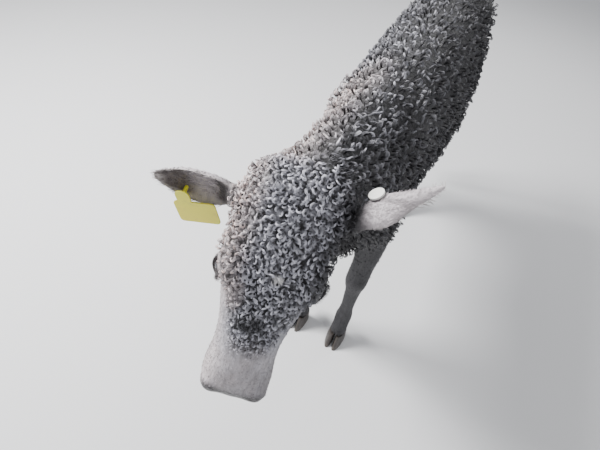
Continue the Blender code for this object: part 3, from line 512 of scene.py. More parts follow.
class Tree:
    """A node tree that grows by one method."""

    def __init__(self, nodes):
        self.nodes = nodes

    def add(self, kind, settings=None, values=None):
        """A node of a kind: its settings first, then the values or links of its inputs."""
        node = self.nodes.nodes.new(kind)
        for key, setting in (settings or {}).items():
            setattr(node, key, setting)
        for key, value in (values or {}).items():
            self.put(pick(node.inputs, key), value)
        return Made(self, node)

    def put(self, socket, value):
        """Link or set one input."""
        if isinstance(value, Value):
            self.nodes.links.new(value.socket, socket)
        elif isinstance(value, (tuple, list)) and len(value) == 3 and socket.type == "RGBA":
            socket.default_value = (*value, 1.0)
        else:
            socket.default_value = value

    def mix(self, factor, first, second):
        """A mix of two colours."""
        return self.add("ShaderNodeMix", {"data_type": "RGBA"},
                        {"Factor_Float": factor, "A_Color": first, "B_Color": second})["Result_Color"]

    def vector(self, operation, first, second):
        """A Vector Math node of two vectors."""
        return self.add("ShaderNodeVectorMath", {"operation": operation}, {0: first, 1: second})

    def along(self, point, way):
        """Dot product of a point and a way."""
        return self.vector("DOT_PRODUCT", point, tuple(way))["Value"]

    def away(self, point, place):
        """A point less a place."""
        return self.vector("SUBTRACT", point, tuple(place))["Vector"]

    def mark(self, name):
        """An attribute of the piece that is being shaded, as one number."""
        return self.add("ShaderNodeAttribute", {"attribute_name": name})["Fac"]

    def marks(self, name):
        """An attribute of the piece that is being shaded, as a vector."""
        return self.add("ShaderNodeAttribute", {"attribute_name": name})["Vector"]

    def root(self):
        """Place of the point that hair is being grown on."""
        return self.add("GeometryNodeInputPosition")["Position"]

    def noise(self, point, scale, detail=2.0, rough=0.5, stretch=None):
        """Noise at a point, drawn out along the axes where stretch is given."""
        if stretch:
            point = self.add("ShaderNodeMapping", None, {"Vector": point, "Scale": stretch})["Vector"]
        return self.add("ShaderNodeTexNoise", None,
                        {"Vector": point, "Scale": scale, "Detail": detail, "Roughness": rough})[0]


def pick(sockets, key):
    """A socket by number, or the one in use that has a name or identifier."""
    if isinstance(key, int):
        return sockets[key]
    for socket in sockets:
        if socket.enabled and key in (socket.identifier, socket.name):
            return socket
    raise RuntimeError("no socket in use named %s" % key)


def material(name, colour, roughness, bump=None, strength=0.3, depth=0.001, **constants):
    """A Principled material made by functions that take its tree and the Object coordinates."""
    made = bpy.data.materials.new(name)
    made.use_nodes = True
    tree = Tree(made.node_tree)
    shader = made.node_tree.nodes["Principled BSDF"]
    point = tree.add("ShaderNodeTexCoord")["Object"]
    tree.put(shader.inputs["Base Color"], colour(tree, point) if callable(colour) else colour)
    tree.put(shader.inputs["Roughness"], roughness(tree, point) if callable(roughness) else roughness)
    for key, value in constants.items():
        tree.put(shader.inputs[key.replace("_", " ")], value)
    if bump:
        made_bump = tree.add("ShaderNodeBump", None,
                             {"Height": bump(tree, point), "Strength": strength, "Distance": depth})
        tree.put(shader.inputs["Normal"], made_bump["Normal"])
    return made


# Head frame

def head_axes():
    """Axes of the head: to its left, down the face, out of the face."""
    down = Vector((math.sin(HEAD_TURN) * math.cos(HEAD_DROP),
                   -math.cos(HEAD_TURN) * math.cos(HEAD_DROP),
                   -math.sin(HEAD_DROP)))
    left = Vector((math.cos(HEAD_TURN), math.sin(HEAD_TURN), 0.0))
    out = left.cross(down)
    if out.z < 0.0:
        out = -out
    turned_left = left * math.cos(HEAD_TILT) + out * math.sin(HEAD_TILT)
    turned_out = out * math.cos(HEAD_TILT) - left * math.sin(HEAD_TILT)
    return turned_left, down, turned_out


HEAD_LEFT, HEAD_FACE, HEAD_OUT = head_axes()


def on_head(side, along, out):
    """A point of the head frame in the body's frame."""
    return POLL + HEAD_LEFT * side + HEAD_FACE * along + HEAD_OUT * out


def off_head(point):
    """A point of the body's frame as side, down the face and out of the face."""
    away = point - POLL
    return away.dot(HEAD_LEFT), away.dot(HEAD_FACE), away.dot(HEAD_OUT)


def head_way(way, hand):
    """A way of the head frame given for the left side, of length one, on the side of a hand."""
    return (HEAD_LEFT * (way[0] * hand) + HEAD_FACE * way[1] + HEAD_OUT * way[2]).normalized()


def past_head_plane(point):
    """Distance in front of the plane between head and neck."""
    middle, normal = HEAD_PLANE
    return (point - Vector(middle)).dot(Vector(normal))


# Shapes

def power(value, exponent):
    """A signed power, which squares off an ellipse."""
    return math.copysign(abs(value) ** exponent, value)


def fade(value, start, end):
    """Smooth step from 0 at start to 1 at end."""
    share = min(max((value - start) / (end - start), 0.0), 1.0)
    return share * share * (3.0 - 2.0 * share)


def between(table, share):
    """A row between the rows of a table, on smooth curves through them."""
    last = len(table) - 1
    index = max(i for i in range(last) if i == 0 or table[i][0] <= share)
    one, two = table[index], table[index + 1]
    before, after = table[max(index - 1, 0)], table[min(index + 2, last)]
    t = (share - one[0]) / (two[0] - one[0])
    row = []
    for a, b, c, d in zip(before[1:], one[1:], two[1:], after[1:]):
        row.append(b + 0.5 * t * (c - a + t * (2.0 * a - 5.0 * b + 4.0 * c - d + t * (3.0 * (b - c) + d - a))))
    return row


def settle(bm):
    """Put the faces in one order, however they were made, and point them out."""
    bm.verts.index_update()
    count = len(bm.verts)

    def rank(face):
        places = [vertex.index for vertex in face.verts]
        return min(places) * count + max(places)
    bm.faces.sort(key=rank)
    bmesh.ops.recalc_face_normals(bm, faces=bm.faces)


def finish(name, bm):
    """Turn a bmesh into an object with its faces pointing out."""
    settle(bm)
    if bm.calc_volume(signed=True) < 0.0:
        bmesh.ops.reverse_faces(bm, faces=bm.faces)
    mesh = bpy.data.meshes.new(name)
    bm.to_mesh(mesh)
    bm.free()
    made = bpy.data.objects.new(name, mesh)
    bpy.context.scene.collection.objects.link(made)
    return made


def loft(bm, rings, sides, strand=None):
    """Skin a row of rings, each a function that gives the point at an angle."""
    turn = bm.verts.layers.float.get("turn") or bm.verts.layers.float.new("turn")
    ring = bmesh.ops.create_circle(bm, cap_ends=True, segments=sides, radius=1.0)["verts"]
    edges = list(dict.fromkeys(edge for vertex in ring for edge in vertex.link_edges))
    for vertex in ring:
        vertex[turn] = math.atan2(vertex.co.y, vertex.co.x)
    for vertex in ring:
        vertex.co = rings[0](vertex[turn])
        if strand:
            vertex[strand] = (0.0, vertex[turn] / math.tau + 0.5, 0.0)
    for number, shape in enumerate(rings[1:], 1):
        made = bmesh.ops.extrude_edge_only(bm, edges=edges)["geom"]
        edges = [part for part in made if isinstance(part, bmesh.types.BMEdge) and part.is_boundary]
        for vertex in made:
            if isinstance(vertex, bmesh.types.BMVert):
                if strand:
                    share = number / (len(rings) - 1)
                    vertex[strand] = (share, vertex[turn] / math.tau + 0.5, 0.0)
                vertex.co = shape(vertex[turn])
    bmesh.ops.edgeloop_fill(bm, edges=edges)


def lofted(name, rings, sides):
    """An object of one loft."""
    bm = bmesh.new()
    loft(bm, rings, sides)
    return finish(name, bm)


def ball(name, centre, radii, axes=None, detail=4):
    """An ellipsoid, turned by three axes where they are given."""
    bm = bmesh.new()
    bmesh.ops.create_icosphere(bm, subdivisions=detail, radius=1.0)
    turned = Matrix(axes).transposed() if axes else Matrix.Identity(3)
    for vertex in bm.verts:
        local = Vector([value * radius for value, radius in zip(vertex.co, radii)])
        vertex.co = Vector(centre) + turned @ local
    return finish(name, bm)


def tube_rings(joints):
    """Round rings through a row of joints."""
    centres = [Vector(joint[:3]) for joint in joints]
    rings = []
    for index, joint in enumerate(joints):
        before = centres[max(index - 1, 0)]
        after = centres[min(index + 1, len(joints) - 1)]
        along = (after - before).normalized()
        aside = Vector(LEFTWARD)
        across = along.cross(aside).normalized()
        rings.append(lambda a, c=centres[index], s=aside, f=across, r=joint[3]:
                     c + s * (r * math.cos(a)) + f * (r * math.sin(a)))
    return rings


def mirrored(joint, hand):
    """A joint of the left side put on the side of a hand, 1 for left and -1 for right."""
    return (joint[0] * hand,) + tuple(joint[1:])


def trunk_rings():
    """Deep oval rings of the trunk, narrower along the back."""
    rings = []
    for along, middle, above, below, half in TRUNK:
        def ring(a, y=along, z=middle, up=above, down=below, w=half):
            side = power(math.cos(a), TRUNK_SQUARE[0])
            rise = power(math.sin(a), TRUNK_SQUARE[1])
            height = up if rise > 0.0 else down
            narrowing = 1.0 - TRUNK_NARROWING[0] * max(rise, 0.0) - TRUNK_NARROWING[1] * max(-rise, 0.0)
            return Vector((w * side * narrowing, y, z + height * rise))
        rings.append(ring)
    return rings


def neck_rings():
    """Upright oval rings of the neck, drawn out below into the dewlap."""
    rings = []
    for side_x, along, middle, tall, half in NECK:
        def ring(a, x=side_x, y=along, z=middle, h=tall, w=half):
            side = math.cos(a)
            rise = math.sin(a)
            narrowing = 1.0 - NECK_NARROWING[0] * max(rise, 0.0) - NECK_NARROWING[1] * max(-rise, 0.0)
            return Vector((x + w * side * narrowing, y - NECK_LEAN * h * rise, z + h * rise))
        rings.append(ring)
    return rings


def skull_rings():
    """Rings of the head, square across the forehead and narrow along the jaw."""
    rings = []
    for share, top, bottom, half, spread in SKULL:
        def ring(a, f=share * HEAD_LENGTH, t=top, b=bottom, w=half, k=spread):
            side = power(math.cos(a), SKULL_SQUARE[0])
            rise = power(math.sin(a), SKULL_SQUARE[1])
            return on_head(w * side * (1.0 + k * rise), f, 0.5 * (t + b) + 0.5 * (t - b) * rise)
        rings.append(ring)
    return rings


def remove(unwanted):
    """Take an object and its mesh out of the file."""
    mesh = unwanted.data
    bpy.data.objects.remove(unwanted, do_unlink=True)
    if mesh.users == 0:
        bpy.data.meshes.remove(mesh)


def evaluated(source, name):
    """A new object from the evaluated mesh of another, which is then removed."""
    bpy.context.view_layer.update()
    graph = bpy.context.evaluated_depsgraph_get()
    mesh = bpy.data.meshes.new_from_object(source.evaluated_get(graph))
    remove(source)
    made = bpy.data.objects.new(name, mesh)
    made.name = name
    mesh.name = name
    bpy.context.scene.collection.objects.link(made)
    return made


def fuse(name, pieces, voxel):
    """Melt overlapping masses into one skin."""
    bm = bmesh.new()
    for piece in pieces:
        bm.from_mesh(piece.data)
        remove(piece)
    whole = finish(name, bm)
    remesh = whole.modifiers.new("melt", "REMESH")
    remesh.mode = "VOXEL"
    remesh.voxel_size = voxel
    remesh.adaptivity = 0.0
    return evaluated(whole, name)


def combine(target, tools, operation, name):
    """Union with, or difference by, closed objects, which are then removed."""
    group = bpy.data.collections.new(name + "_tools")
    bpy.context.scene.collection.children.link(group)
    for tool in tools:
        group.objects.link(tool)
    boolean = target.modifiers.new("combine", "BOOLEAN")
    boolean.operation = operation
    boolean.operand_type = "COLLECTION"
    boolean.collection = group
    boolean.solver = "MANIFOLD"
    made = evaluated(target, name)
    for tool in list(group.objects):
        remove(tool)
    bpy.data.collections.remove(group)
    return made


def head_ball(mass, hand=1):
    """An ellipsoid given in the head frame."""
    side, along, out = mirrored(mass[0], hand)
    return ball("face", on_head(side, along, out), mass[1], (HEAD_LEFT, HEAD_FACE, HEAD_OUT))


def leaning(angle):
    """Axes turned about the body's x axis."""
    cosine = math.cos(angle)
    sine = math.sin(angle)
    return (1.0, 0.0, 0.0), (0.0, cosine, sine), (0.0, -sine, cosine)


def body_masses():
    """The trunk, neck, head, limbs, tail and other masses of flesh as overlapping closed forms."""
    masses = [lofted("trunk", trunk_rings(), 48), lofted("neck", neck_rings(), 40)]
    masses.append(lofted("skull", skull_rings(), 48))
    for hand in (1, -1):
        for centre, radii, lean in SIDE_MASSES:
            masses.append(ball("mass", mirrored(centre, hand), radii, leaning(lean)))
        masses.append(lofted("leg", tube_rings([mirrored(joint, hand) for joint in FORELEG]), 24))
        masses.append(lofted("leg", tube_rings([mirrored(joint, hand) for joint in HINDLEG]), 24))
        for end in (HOCK_END, TENDON_END):
            masses.append(lofted("hock", tube_rings([mirrored(HOCK_POINT, hand), mirrored(end, hand)]), 20))
        for mass in FACE_MASSES:
            masses.append(head_ball(mass, hand))
        for aside in (DEWCLAW_ASIDE, -DEWCLAW_ASIDE):
            for middle, back, height in DEWCLAWS:
                masses.append(ball("dewclaw", ((middle + aside) * hand, back, height), DEWCLAW_RADII, detail=3))
    masses.append(head_ball(CHIN))
    for centre, radii in MIDDLE_MASSES:
        masses.append(ball("middle", centre, radii))
    masses.append(lofted("tail", tube_rings(TAIL), 20))
    return masses


def evenness(point):
    """Share of the smoothing rounds that a point of the skin takes part in."""
    trunk = fade(point.z, 0.38, 0.54)
    share = SMOOTH_LEGS + (1.0 - SMOOTH_LEGS) * trunk
    share += (SMOOTH_HEAD - share) * fade(past_head_plane(point), -0.06, 0.05)
    on_tail = fade(point.y, 0.535, 0.562) * (1.0 - fade(abs(point.x), 0.030, 0.052))
    return share + (SMOOTH_TAIL - share) * on_tail


def smooth_some(bm, verts):
    """One round of smoothing on some vertices."""
    bmesh.ops.smooth_vert(bm, verts=verts, factor=0.5, use_axis_x=True, use_axis_y=True, use_axis_z=True)


def even_out(skin):
    """Smooth the melted masses: most on the trunk and neck, least on the face and feet; refine the head."""
    bm = bmesh.new()
    bm.from_mesh(skin.data)
    shares = [(vertex, evenness(vertex.co)) for vertex in bm.verts]
    for step in range(SMOOTH_ROUNDS):
        smooth_some(bm, [vertex for vertex, share in shares if share * SMOOTH_ROUNDS > step])
    ahead = [edge for edge in bm.edges
             if past_head_plane(edge.verts[0].co) > 0.05 and past_head_plane(edge.verts[1].co) > 0.05]
    bmesh.ops.subdivide_edges(bm, edges=ahead, cuts=1, use_grid_fill=True)
    face = [vertex for vertex in bm.verts if past_head_plane(vertex.co) > 0.045]
    for step in range(3):
        smooth_some(bm, face)
    bm.to_mesh(skin.data)
    bm.free()


@functools.cache
def eye_axes(hand):
    """Centre of the eyeball, the way it looks, the line of its lids and the way up to the brow."""
    look = head_way(EYE_LOOK, hand)
    corner = head_way(LID_LINE, hand)
    corner = (corner - look * corner.dot(look)).normalized()
    return on_head(*mirrored(EYE_PLACE, hand)), look, corner, look.cross(corner)


@functools.cache
def ear_frame(hand):
    """Root, axis, way across and way the cup opens, in the body's frame."""
    root, axis, facing = EARS[hand]
    along = (HEAD_LEFT * axis[0] + HEAD_FACE * axis[1] + HEAD_OUT * axis[2]).normalized()
    opening = HEAD_LEFT * facing[0] + HEAD_FACE * facing[1] + HEAD_OUT * facing[2]
    opening = (opening - along * opening.dot(along)).normalized()
    return on_head(*root), along, along.cross(opening), opening


def ear(hand):
    """A leaf-shaped cup on a short round root, thin at its rim."""
    root, along, across, opening = ear_frame(hand)
    rings = []
    for step in range(EAR_RINGS + 1):
        share = EAR_END * step / EAR_RINGS
        half, back, front = between(EAR_SHAPE, share)
        half *= 1.0 - EAR_ROLL[hand] * fade(share, *EAR_ROLLS)

        def ring(a, s=share, w=half - EAR_INSET, d=back - EAR_INSET, f=front - EAR_INSET):
            bulge = math.sin(a)
            depth = -d * bulge if bulge > 0.0 else -f * bulge
            return (root + along * (EAR_LENGTH * s) + across * (w * math.cos(a))
                    + opening * (depth - EAR_DROOP * s * s))
        rings.append(ring)
    return lofted("ear", rings, 40)


def mouth_line(skin):
    """A thin wire round the muzzle where the lips meet, found on the skin's own surface."""
    joints = []
    inside = on_head(0.0, MOUTH_DOWN, MOUTH_OUT)
    for step in range(MOUTH_STEPS + 1):
        angle = MOUTH_TURN * (2.0 * step / MOUTH_STEPS - 1.0)
        way = (HEAD_FACE * math.cos(angle) + HEAD_LEFT * math.sin(angle)).normalized()
        rise = HEAD_OUT * (MOUTH_WAVE * math.cos(angle * 2.0))
        joints.append(skin.ray_cast(inside + way * HEAD_LENGTH + rise, -way)[1])
    rings = []
    count = len(joints)
    for index in range(count):
        before = joints[max(index - 1, 0)]
        after = joints[min(index + 1, count - 1)]
        along = (after - before).normalized()
        across = along.cross(HEAD_OUT).normalized()
        size = MOUTH_GROOVE * (0.35 + 0.65 * math.sin(math.pi * (index + 0.5) / count) ** 0.5)
        rings.append(lambda a, c=joints[index], f=across, r=size:
                     c + HEAD_OUT * (r * 0.7 * math.cos(a)) + f * (r * 1.5 * math.sin(a)))
    return lofted("mouth", rings, 8)


def face_cutters(skin):
    """Eye sockets, openings between the lids, nostrils and the line of the mouth."""
    cutters = [mouth_line(skin)]
    for hand in (1, -1):
        centre, look, corner, brow = eye_axes(hand)
        socket = EYE_RADIUS + 0.0003
        cutters.append(ball("socket", centre, (socket, socket, socket)))
        cutters.append(ball("opening", centre + look * (EYE_RADIUS * 0.95), LID_OPENING, (look, corner, brow)))
        lean = head_way(NOSTRIL_LEAN, hand)
        rise = head_way(NOSTRIL_RISE, hand)
        rise = (rise - lean * rise.dot(lean)).normalized()
        place = on_head(*mirrored(NOSTRIL, hand))
        cutters.append(ball("nostril", place, NOSTRIL_RADII, (lean, rise, lean.cross(rise))))
    return cutters


def below_hooves():
    """A block that holds all below the tops of the hooves."""
    bm = bmesh.new()
    bmesh.ops.create_cube(bm, size=1.0)
    for vertex in bm.verts:
        vertex.co = Vector((vertex.co.x, vertex.co.y * 2.4, (vertex.co.z - 0.5) * 0.3 + HOOF_TOP))
    return finish("feet", bm)


# Where each kind of hair grows

def near_hand(point):
    """Hand of the side of the head that a point is on."""
    return 1 if off_head(point)[0] > 0.0 else -1


def by_ear(point, hand):
    """Share of the way along an ear, distance off its axis, and places across it and out of its cup."""
    root, along, across, opening = ear_frame(hand)
    away = point - root
    reach = away.dot(along)
    return reach / EAR_LENGTH, (away - along * reach).length, away.dot(across), away.dot(opening)


def on_ear(point):
    """Share of the way into an ear from the side of the head, 0 off the ears."""
    for hand in (1, -1):
        share, off, across, out = by_ear(point, hand)
        if share > EAR_BEGINS and off < EAR_REACH:
            return fade(off_head(point)[0] * hand, *EAR_JOINS)
    return 0.0


def in_cup(point, normal):
    """How far a point of an ear faces into the cup."""
    for hand in (1, -1):
        share, off, across, out = by_ear(point, hand)
        if CUP_BEGINS < share < 1.0 and off < EAR_REACH:
            return fade(normal.dot(ear_frame(hand)[3]), 0.0, 0.5)
    return 0.0


def ear_span(point):
    """Share along the nearer ear, and from -1 to 1 across it."""
    hand = near_hand(point)
    share, off, across, out = by_ear(point, hand)
    share = min(max(share, 0.0), 0.98)
    half = between(EAR_SHAPE, share)[0] * (1.0 - EAR_ROLL[hand] * fade(share, *EAR_ROLLS))
    return Vector((share, across / max(half, 0.005), 0.0))


def curls(point):
    """How far the curly coat covers a point of the skin, from 0 to 1."""
    side, along, out = off_head(point)
    ahead = past_head_plane(point)
    trunk = fade(point.z, *CURLS_RISE) * (1.0 - fade(ahead, *CURLS_NECK_END))
    width = CURLS_WIDTH - CURLS_NARROWING * fade(along, *CURLS_NARROWS)
    face = fade(ahead, *CURLS_FACE_START) * (1.0 - fade(along, *CURLS_FACE_END))
    face *= 1.0 - fade(abs(side), width - CURLS_EDGE, width + CURLS_EDGE)
    face *= fade(out, *CURLS_FACE_DEPTH)
    on_tail = fade(point.y, *CURLS_TAIL_BACK) * (1.0 - fade(abs(point.x), *CURLS_TAIL_SIDE))
    return max(face, trunk * (1.0 - on_tail))


def near_eye(point):
    """How near a point is to an eye, 1 on the lids and 0 well away."""
    nearest = min((point - eye_axes(hand)[0]).length for hand in (1, -1))
    return 1.0 - fade(nearest, EYE_RADIUS + LID_THICKNESS, EYE_RADIUS + 0.010)


def lid_rim(point):
    """1 on the bare dark rims of the lids, 0 off them."""
    nearest = 9.0
    for hand in (1, -1):
        centre, look, corner, brow = eye_axes(hand)
        away = point - centre
        if away.dot(look) > 0.0 and away.length < EYE_RADIUS + 0.012:
            nearest = math.hypot(away.dot(corner) / LID_OPENING[1], away.dot(brow) / LID_OPENING[2])
    return 1.0 - fade(nearest, 1.18, 1.42)


def on_upper_lid(point):
    """1 on the rim of an upper lid, 0 off it."""
    centre, look, corner, brow = eye_axes(near_hand(point))
    return lid_rim(point) * fade((point - centre).dot(brow), 0.001, 0.004)


def bare(point):
    """How bare the skin is: the pad of the nose, the lips and the lids."""
    side, along, out = off_head(point)
    pad = fade(along, 0.352, 0.366) * (1.0 - fade(abs(side), 0.050, 0.062)) * fade(out, -0.118, -0.108)
    lips = fade(along, 0.335, 0.352) * (1.0 - fade(abs(out + 0.107), 0.004, 0.010))
    return max(pad, lips, lid_rim(point))


def coat_depth(point, sizes):
    """Height of the curls over the skin."""
    full = sizes.coat_trunk + (sizes.coat_neck - sizes.coat_trunk) * fade(-point.y, *NECK_DEPTH_FADE)
    full += (sizes.coat_head - full) * fade(past_head_plane(point), *HEAD_DEPTH_FADE)
    return full


def lie(point):
    """The way the coat lies: down the face, out along the ears, down the legs and tail, back elsewhere."""
    side, along, out = off_head(point)
    if past_head_plane(point) > 0.0:
        if lid_rim(point) > 0.1:
            brow = eye_axes(near_hand(point))[3]
            return brow if on_upper_lid(point) > 0.0 else -brow
        for hand in (1, -1):
            share, off, across, opening = by_ear(point, hand)
            if share > EAR_LIE_BEGINS and off < EAR_REACH:
                return ear_frame(hand)[1]
        return (HEAD_FACE + HEAD_LEFT * (side * 5.0)).normalized()
    if point.z < 0.50 or point.y > 0.555:
        return Vector((0.0, 0.15, -1.0)).normalized()
    return Vector((0.0, 1.0, -0.45)).normalized()


def around(one, two):
    """Share of a full turn at which a direction lies."""
    return math.atan2(one, two) / math.tau + 0.5


def unwrap(point):
    """Place of a point on the skin laid out flat: trunk, neck and head as one sleeve, then limbs and ears."""
    if on_ear(point) > 0.5:
        hand = near_hand(point)
        share, off, across, out = by_ear(point, hand)
        start = 0.26 if hand < 0 else 0.02
        return Vector((start + 0.22 * around(across, out), 0.31 + 0.09 * share, 0.0))
    if point.y > 0.555 and abs(point.x) < 0.05:
        return Vector((0.82 + 0.16 * around(point.x, point.y - 0.595), 0.02 + 0.27 * point.z, 0.0))
    if point.z < 0.47:
        column = (2 if point.y > 0.0 else 0) + (1 if point.x < 0.0 else 0)
        middle = 0.39 if point.y > 0.0 else -0.32
        turn = around(abs(point.x) - 0.072, point.y - middle)
        return Vector((0.01 + 0.2 * column + 0.18 * turn, 0.02 + 0.58 * point.z, 0.0))
    middle = 0.715 + 0.09 * fade(-point.y, 0.45, 0.70)
    return Vector((0.01 + 0.98 * (point.y + 0.92) / 1.54, 0.43 + 0.56 * around(point.x, point.z - middle), 0.0))


def mark_skin(skin, sizes):
    """Store on the skin where each kind of hair grows, its depth, its lie and its place laid out flat."""
    mesh = skin.data
    kinds = {"curl": "FLOAT", "fur": "FLOAT", "ear": "FLOAT", "cup": "FLOAT", "bare": "FLOAT",
             "depth": "FLOAT", "head": "FLOAT", "lie": "FLOAT_VECTOR", "unwrap": "FLOAT_VECTOR",
             "span": "FLOAT_VECTOR", "lash": "FLOAT"}
    for name, kind in kinds.items():
        mesh.attributes.new(name, kind, "POINT")
    stores = {name: mesh.attributes[name].data for name in kinds}
    for index, vertex in enumerate(mesh.vertices):
        point = vertex.co
        ear_share = on_ear(point)
        naked = bare(point)
        covered = curls(point) * (1.0 - ear_share) * (1.0 - near_eye(point))
        stores["curl"][index].value = covered
        stores["ear"][index].value = ear_share
        stores["cup"][index].value = in_cup(point, vertex.normal)
        stores["bare"][index].value = naked
        stores["fur"][index].value = (1.0 - covered) * (1.0 - naked)
        stores["depth"][index].value = coat_depth(point, sizes)
        stores["head"][index].value = fade(past_head_plane(point), -0.01, 0.02)
        stores["lie"][index].vector = lie(point)
        stores["unwrap"][index].vector = unwrap(point)
        stores["span"][index].vector = ear_span(point)
        stores["lash"][index].value = on_upper_lid(point)


# Coat colour with painted light and shade, the same on skin and hair

def on_face(tree, point):
    """Side, distance down the face and out of the face of a point, as sockets."""
    away = tree.away(point, POLL + SHIFT)
    return tree.along(away, HEAD_LEFT), tree.along(away, HEAD_FACE), tree.along(away, HEAD_OUT)


def ahead_of_neck(tree, point):
    """Distance of a point in front of the plane between head and neck, as a socket."""
    return tree.along(tree.away(point, Vector(HEAD_PLANE[0]) + SHIFT), HEAD_PLANE[1])


def disc_of(side, down, place, radii):
    """Distance from the middle of an oval on the face, 1 at its edge."""
    return ((((side - place[0]) / radii[0]) ** 2.0) + (((down - place[1]) / radii[1]) ** 2.0)) ** 0.5


def markings_and_painted_light(tree, point, tip):
    """Colour of the coat: black hair with silvery tips, lit brighter as painted highlight on the top of head and
    neck and darkened as painted shade on the left side, painted warm light on the right, and a paler face.
    """
    colours = bpy.context.scene.bull_colours
    side, down, out = on_face(tree, point)
    patches = tree.noise(point, 13.0, 2.0)
    fine = tree.noise(point, 70.0, 2.0)
    head = ahead_of_neck(tree, point).step(*HEAD_FADE)
    across = tree.along(tree.away(point, SHIFT), LEFTWARD)
    back = tree.along(tree.away(point, SHIFT), BACKWARD)
    height = tree.along(point, UPWARD)

    # Painted highlight and shade: hair tips lighter on the forehead's top and along the top line, painted shade down
    # the sides and on the left side; also darker towards the back.
    painted_crown_light = (1.0 - side.step(*CROWN_SIDE)) * out.step(*CROWN_OUT)
    top = height.step(*TOP_HEIGHT) * (1.0 - across.step(*TOP_LEFT) * 0.75) * (1.0 - back.step(*TOP_BACK) * 0.50)
    far = 1.0 - back.step(*TOP_FAR) * 0.50
    silver_and_painted_light = (painted_crown_light * 0.95 + 0.05) * head + (top * 0.68 * far + 0.05) * (1.0 - head)
    whorl = disc_of(side, down, WHORL, WHORL_RADII)
    silver_and_painted_light = silver_and_painted_light * (1.0 - (1.0 - whorl.step(0.75, 1.15)) * 0.75)
    light = tip * silver_and_painted_light * (0.35 + patches * 0.95) * (0.65 + fine * 0.7)
    black = tree.mix(patches, tuple(colours.coat_dark), WARM_BLACK)
    coat = tree.mix(light.least(1.0), black, tuple(colours.coat_light))

    # Painted warm light: a warm tint on the right cheek and the right side of the neck, where the light falls.
    cheek = (0.0 - side).step(*CHEEK_SIDE) * out.step(*CHEEK_OUT) * 0.80
    neck = (0.0 - across).step(*NECK_SIDE) * (1.0 - back.step(*NECK_BACK)) * height.step(*NECK_HEIGHT)
    warm = (cheek * head).most(neck * (1.0 - head) * 0.8) * (0.35 + patches * 0.9)
    coat = tree.mix((warm * (tip + 0.08)).least(1.0), coat, tuple(colours.painted_warm_light))

    oval = (1.0 - disc_of(side, down, PALE_OVAL, OVAL_RADII).step(0.6, 1.1)) * out.step(*MARK_OUT)
    blotches = tree.noise(point, 28.0, 3.0).step(0.35, 0.65)
    nose = down.step(*NOSE_DOWN) * out.step(*NOSE_OUT) * (0.42 + blotches * 0.30)
    # The nose's pale hair is dimmed on the left side as painted shade.
    pale = (oval * 0.50).most(nose * (1.0 - side.step(0.0, 0.06) * 0.55)) * head
    coat = tree.mix(pale * (0.35 + tip * 0.5), coat, tuple(colours.face_pale))
    tuft = (1.0 - disc_of(side, down, WHITE_TUFT, TUFT_RADII).step(0.7, 1.2)) * head * out.step(*TUFT_OUT)
    return tree.mix((tuft * (0.45 + tip)).least(1.0), coat, TUFT_COLOUR)


def coat_material(name, low, gain, spread, roughness):
    """Hair of one kind: low is its lightness at the root, gain what the tip adds, spread how locks differ."""
    def colour(tree, point):
        strand = tree.marks("strand")
        along = tree.along(strand, LEFTWARD)
        lines = tree.noise(strand, 9.0, 1.0, stretch=(0.5, 3.0, 1.0))
        differs = (1.0 - spread) + tree.mark("tone") * 2.0 * spread
        return markings_and_painted_light(tree, point, low + along.step(0.06, 0.62) * gain * (0.5 + lines) * differs)
    return material(name, colour, roughness, Specular_IOR_Level=0.5)


def ear_hair_material():
    """Hair of the ears: pale grey on the back, dark in the cup."""
    def colour(tree, point):
        return tree.mix(tree.mark("tone") * 0.30, ear_colour(tree), EAR_HAIR_LIGHT)
    return material("ear_hair", colour, 0.60)


def ear_colour(tree):
    """Colours of an ear: pale back and rim, a dark cup with a paler middle."""
    colours = bpy.context.scene.bull_colours
    span = tree.marks("span")
    along = tree.along(span, LEFTWARD)
    across = tree.along(span, BACKWARD)
    rim = (across ** 2.0).step(0.55, 0.90).most(along.step(0.86, 0.97))
    middle = along.step(0.26, 0.44) * (1.0 - along.step(0.52, 0.72))
    inside = tree.mix(middle * 0.8, tuple(colours.ear_cup), tuple(colours.ear_back))
    inside = tree.mix(rim, inside, EAR_RIM)
    ear_hair = tree.mix(tree.mark("cup"), tuple(colours.ear_back), inside)
    return tree.mix(along.step(0.14, 0.40), tuple(colours.coat_dark), ear_hair)


def combed(tree, point):
    """The point drawn out along the way the hair lies: down the face, and down the legs."""
    side, down, out = on_face(tree, point)
    face = tree.add("ShaderNodeCombineXYZ", None, {"X": side, "Y": down * COMBED, "Z": out})["Vector"]
    body = tree.add("ShaderNodeMapping", None, {"Vector": point, "Scale": (1.0, 1.0, COMBED)})["Vector"]
    ahead = ahead_of_neck(tree, point).step(0.0, 0.01)
    return tree.add("ShaderNodeMix", {"data_type": "VECTOR"},
                    {"Factor_Float": ahead, "A_Vector": body, "B_Vector": face})["Result_Vector"]


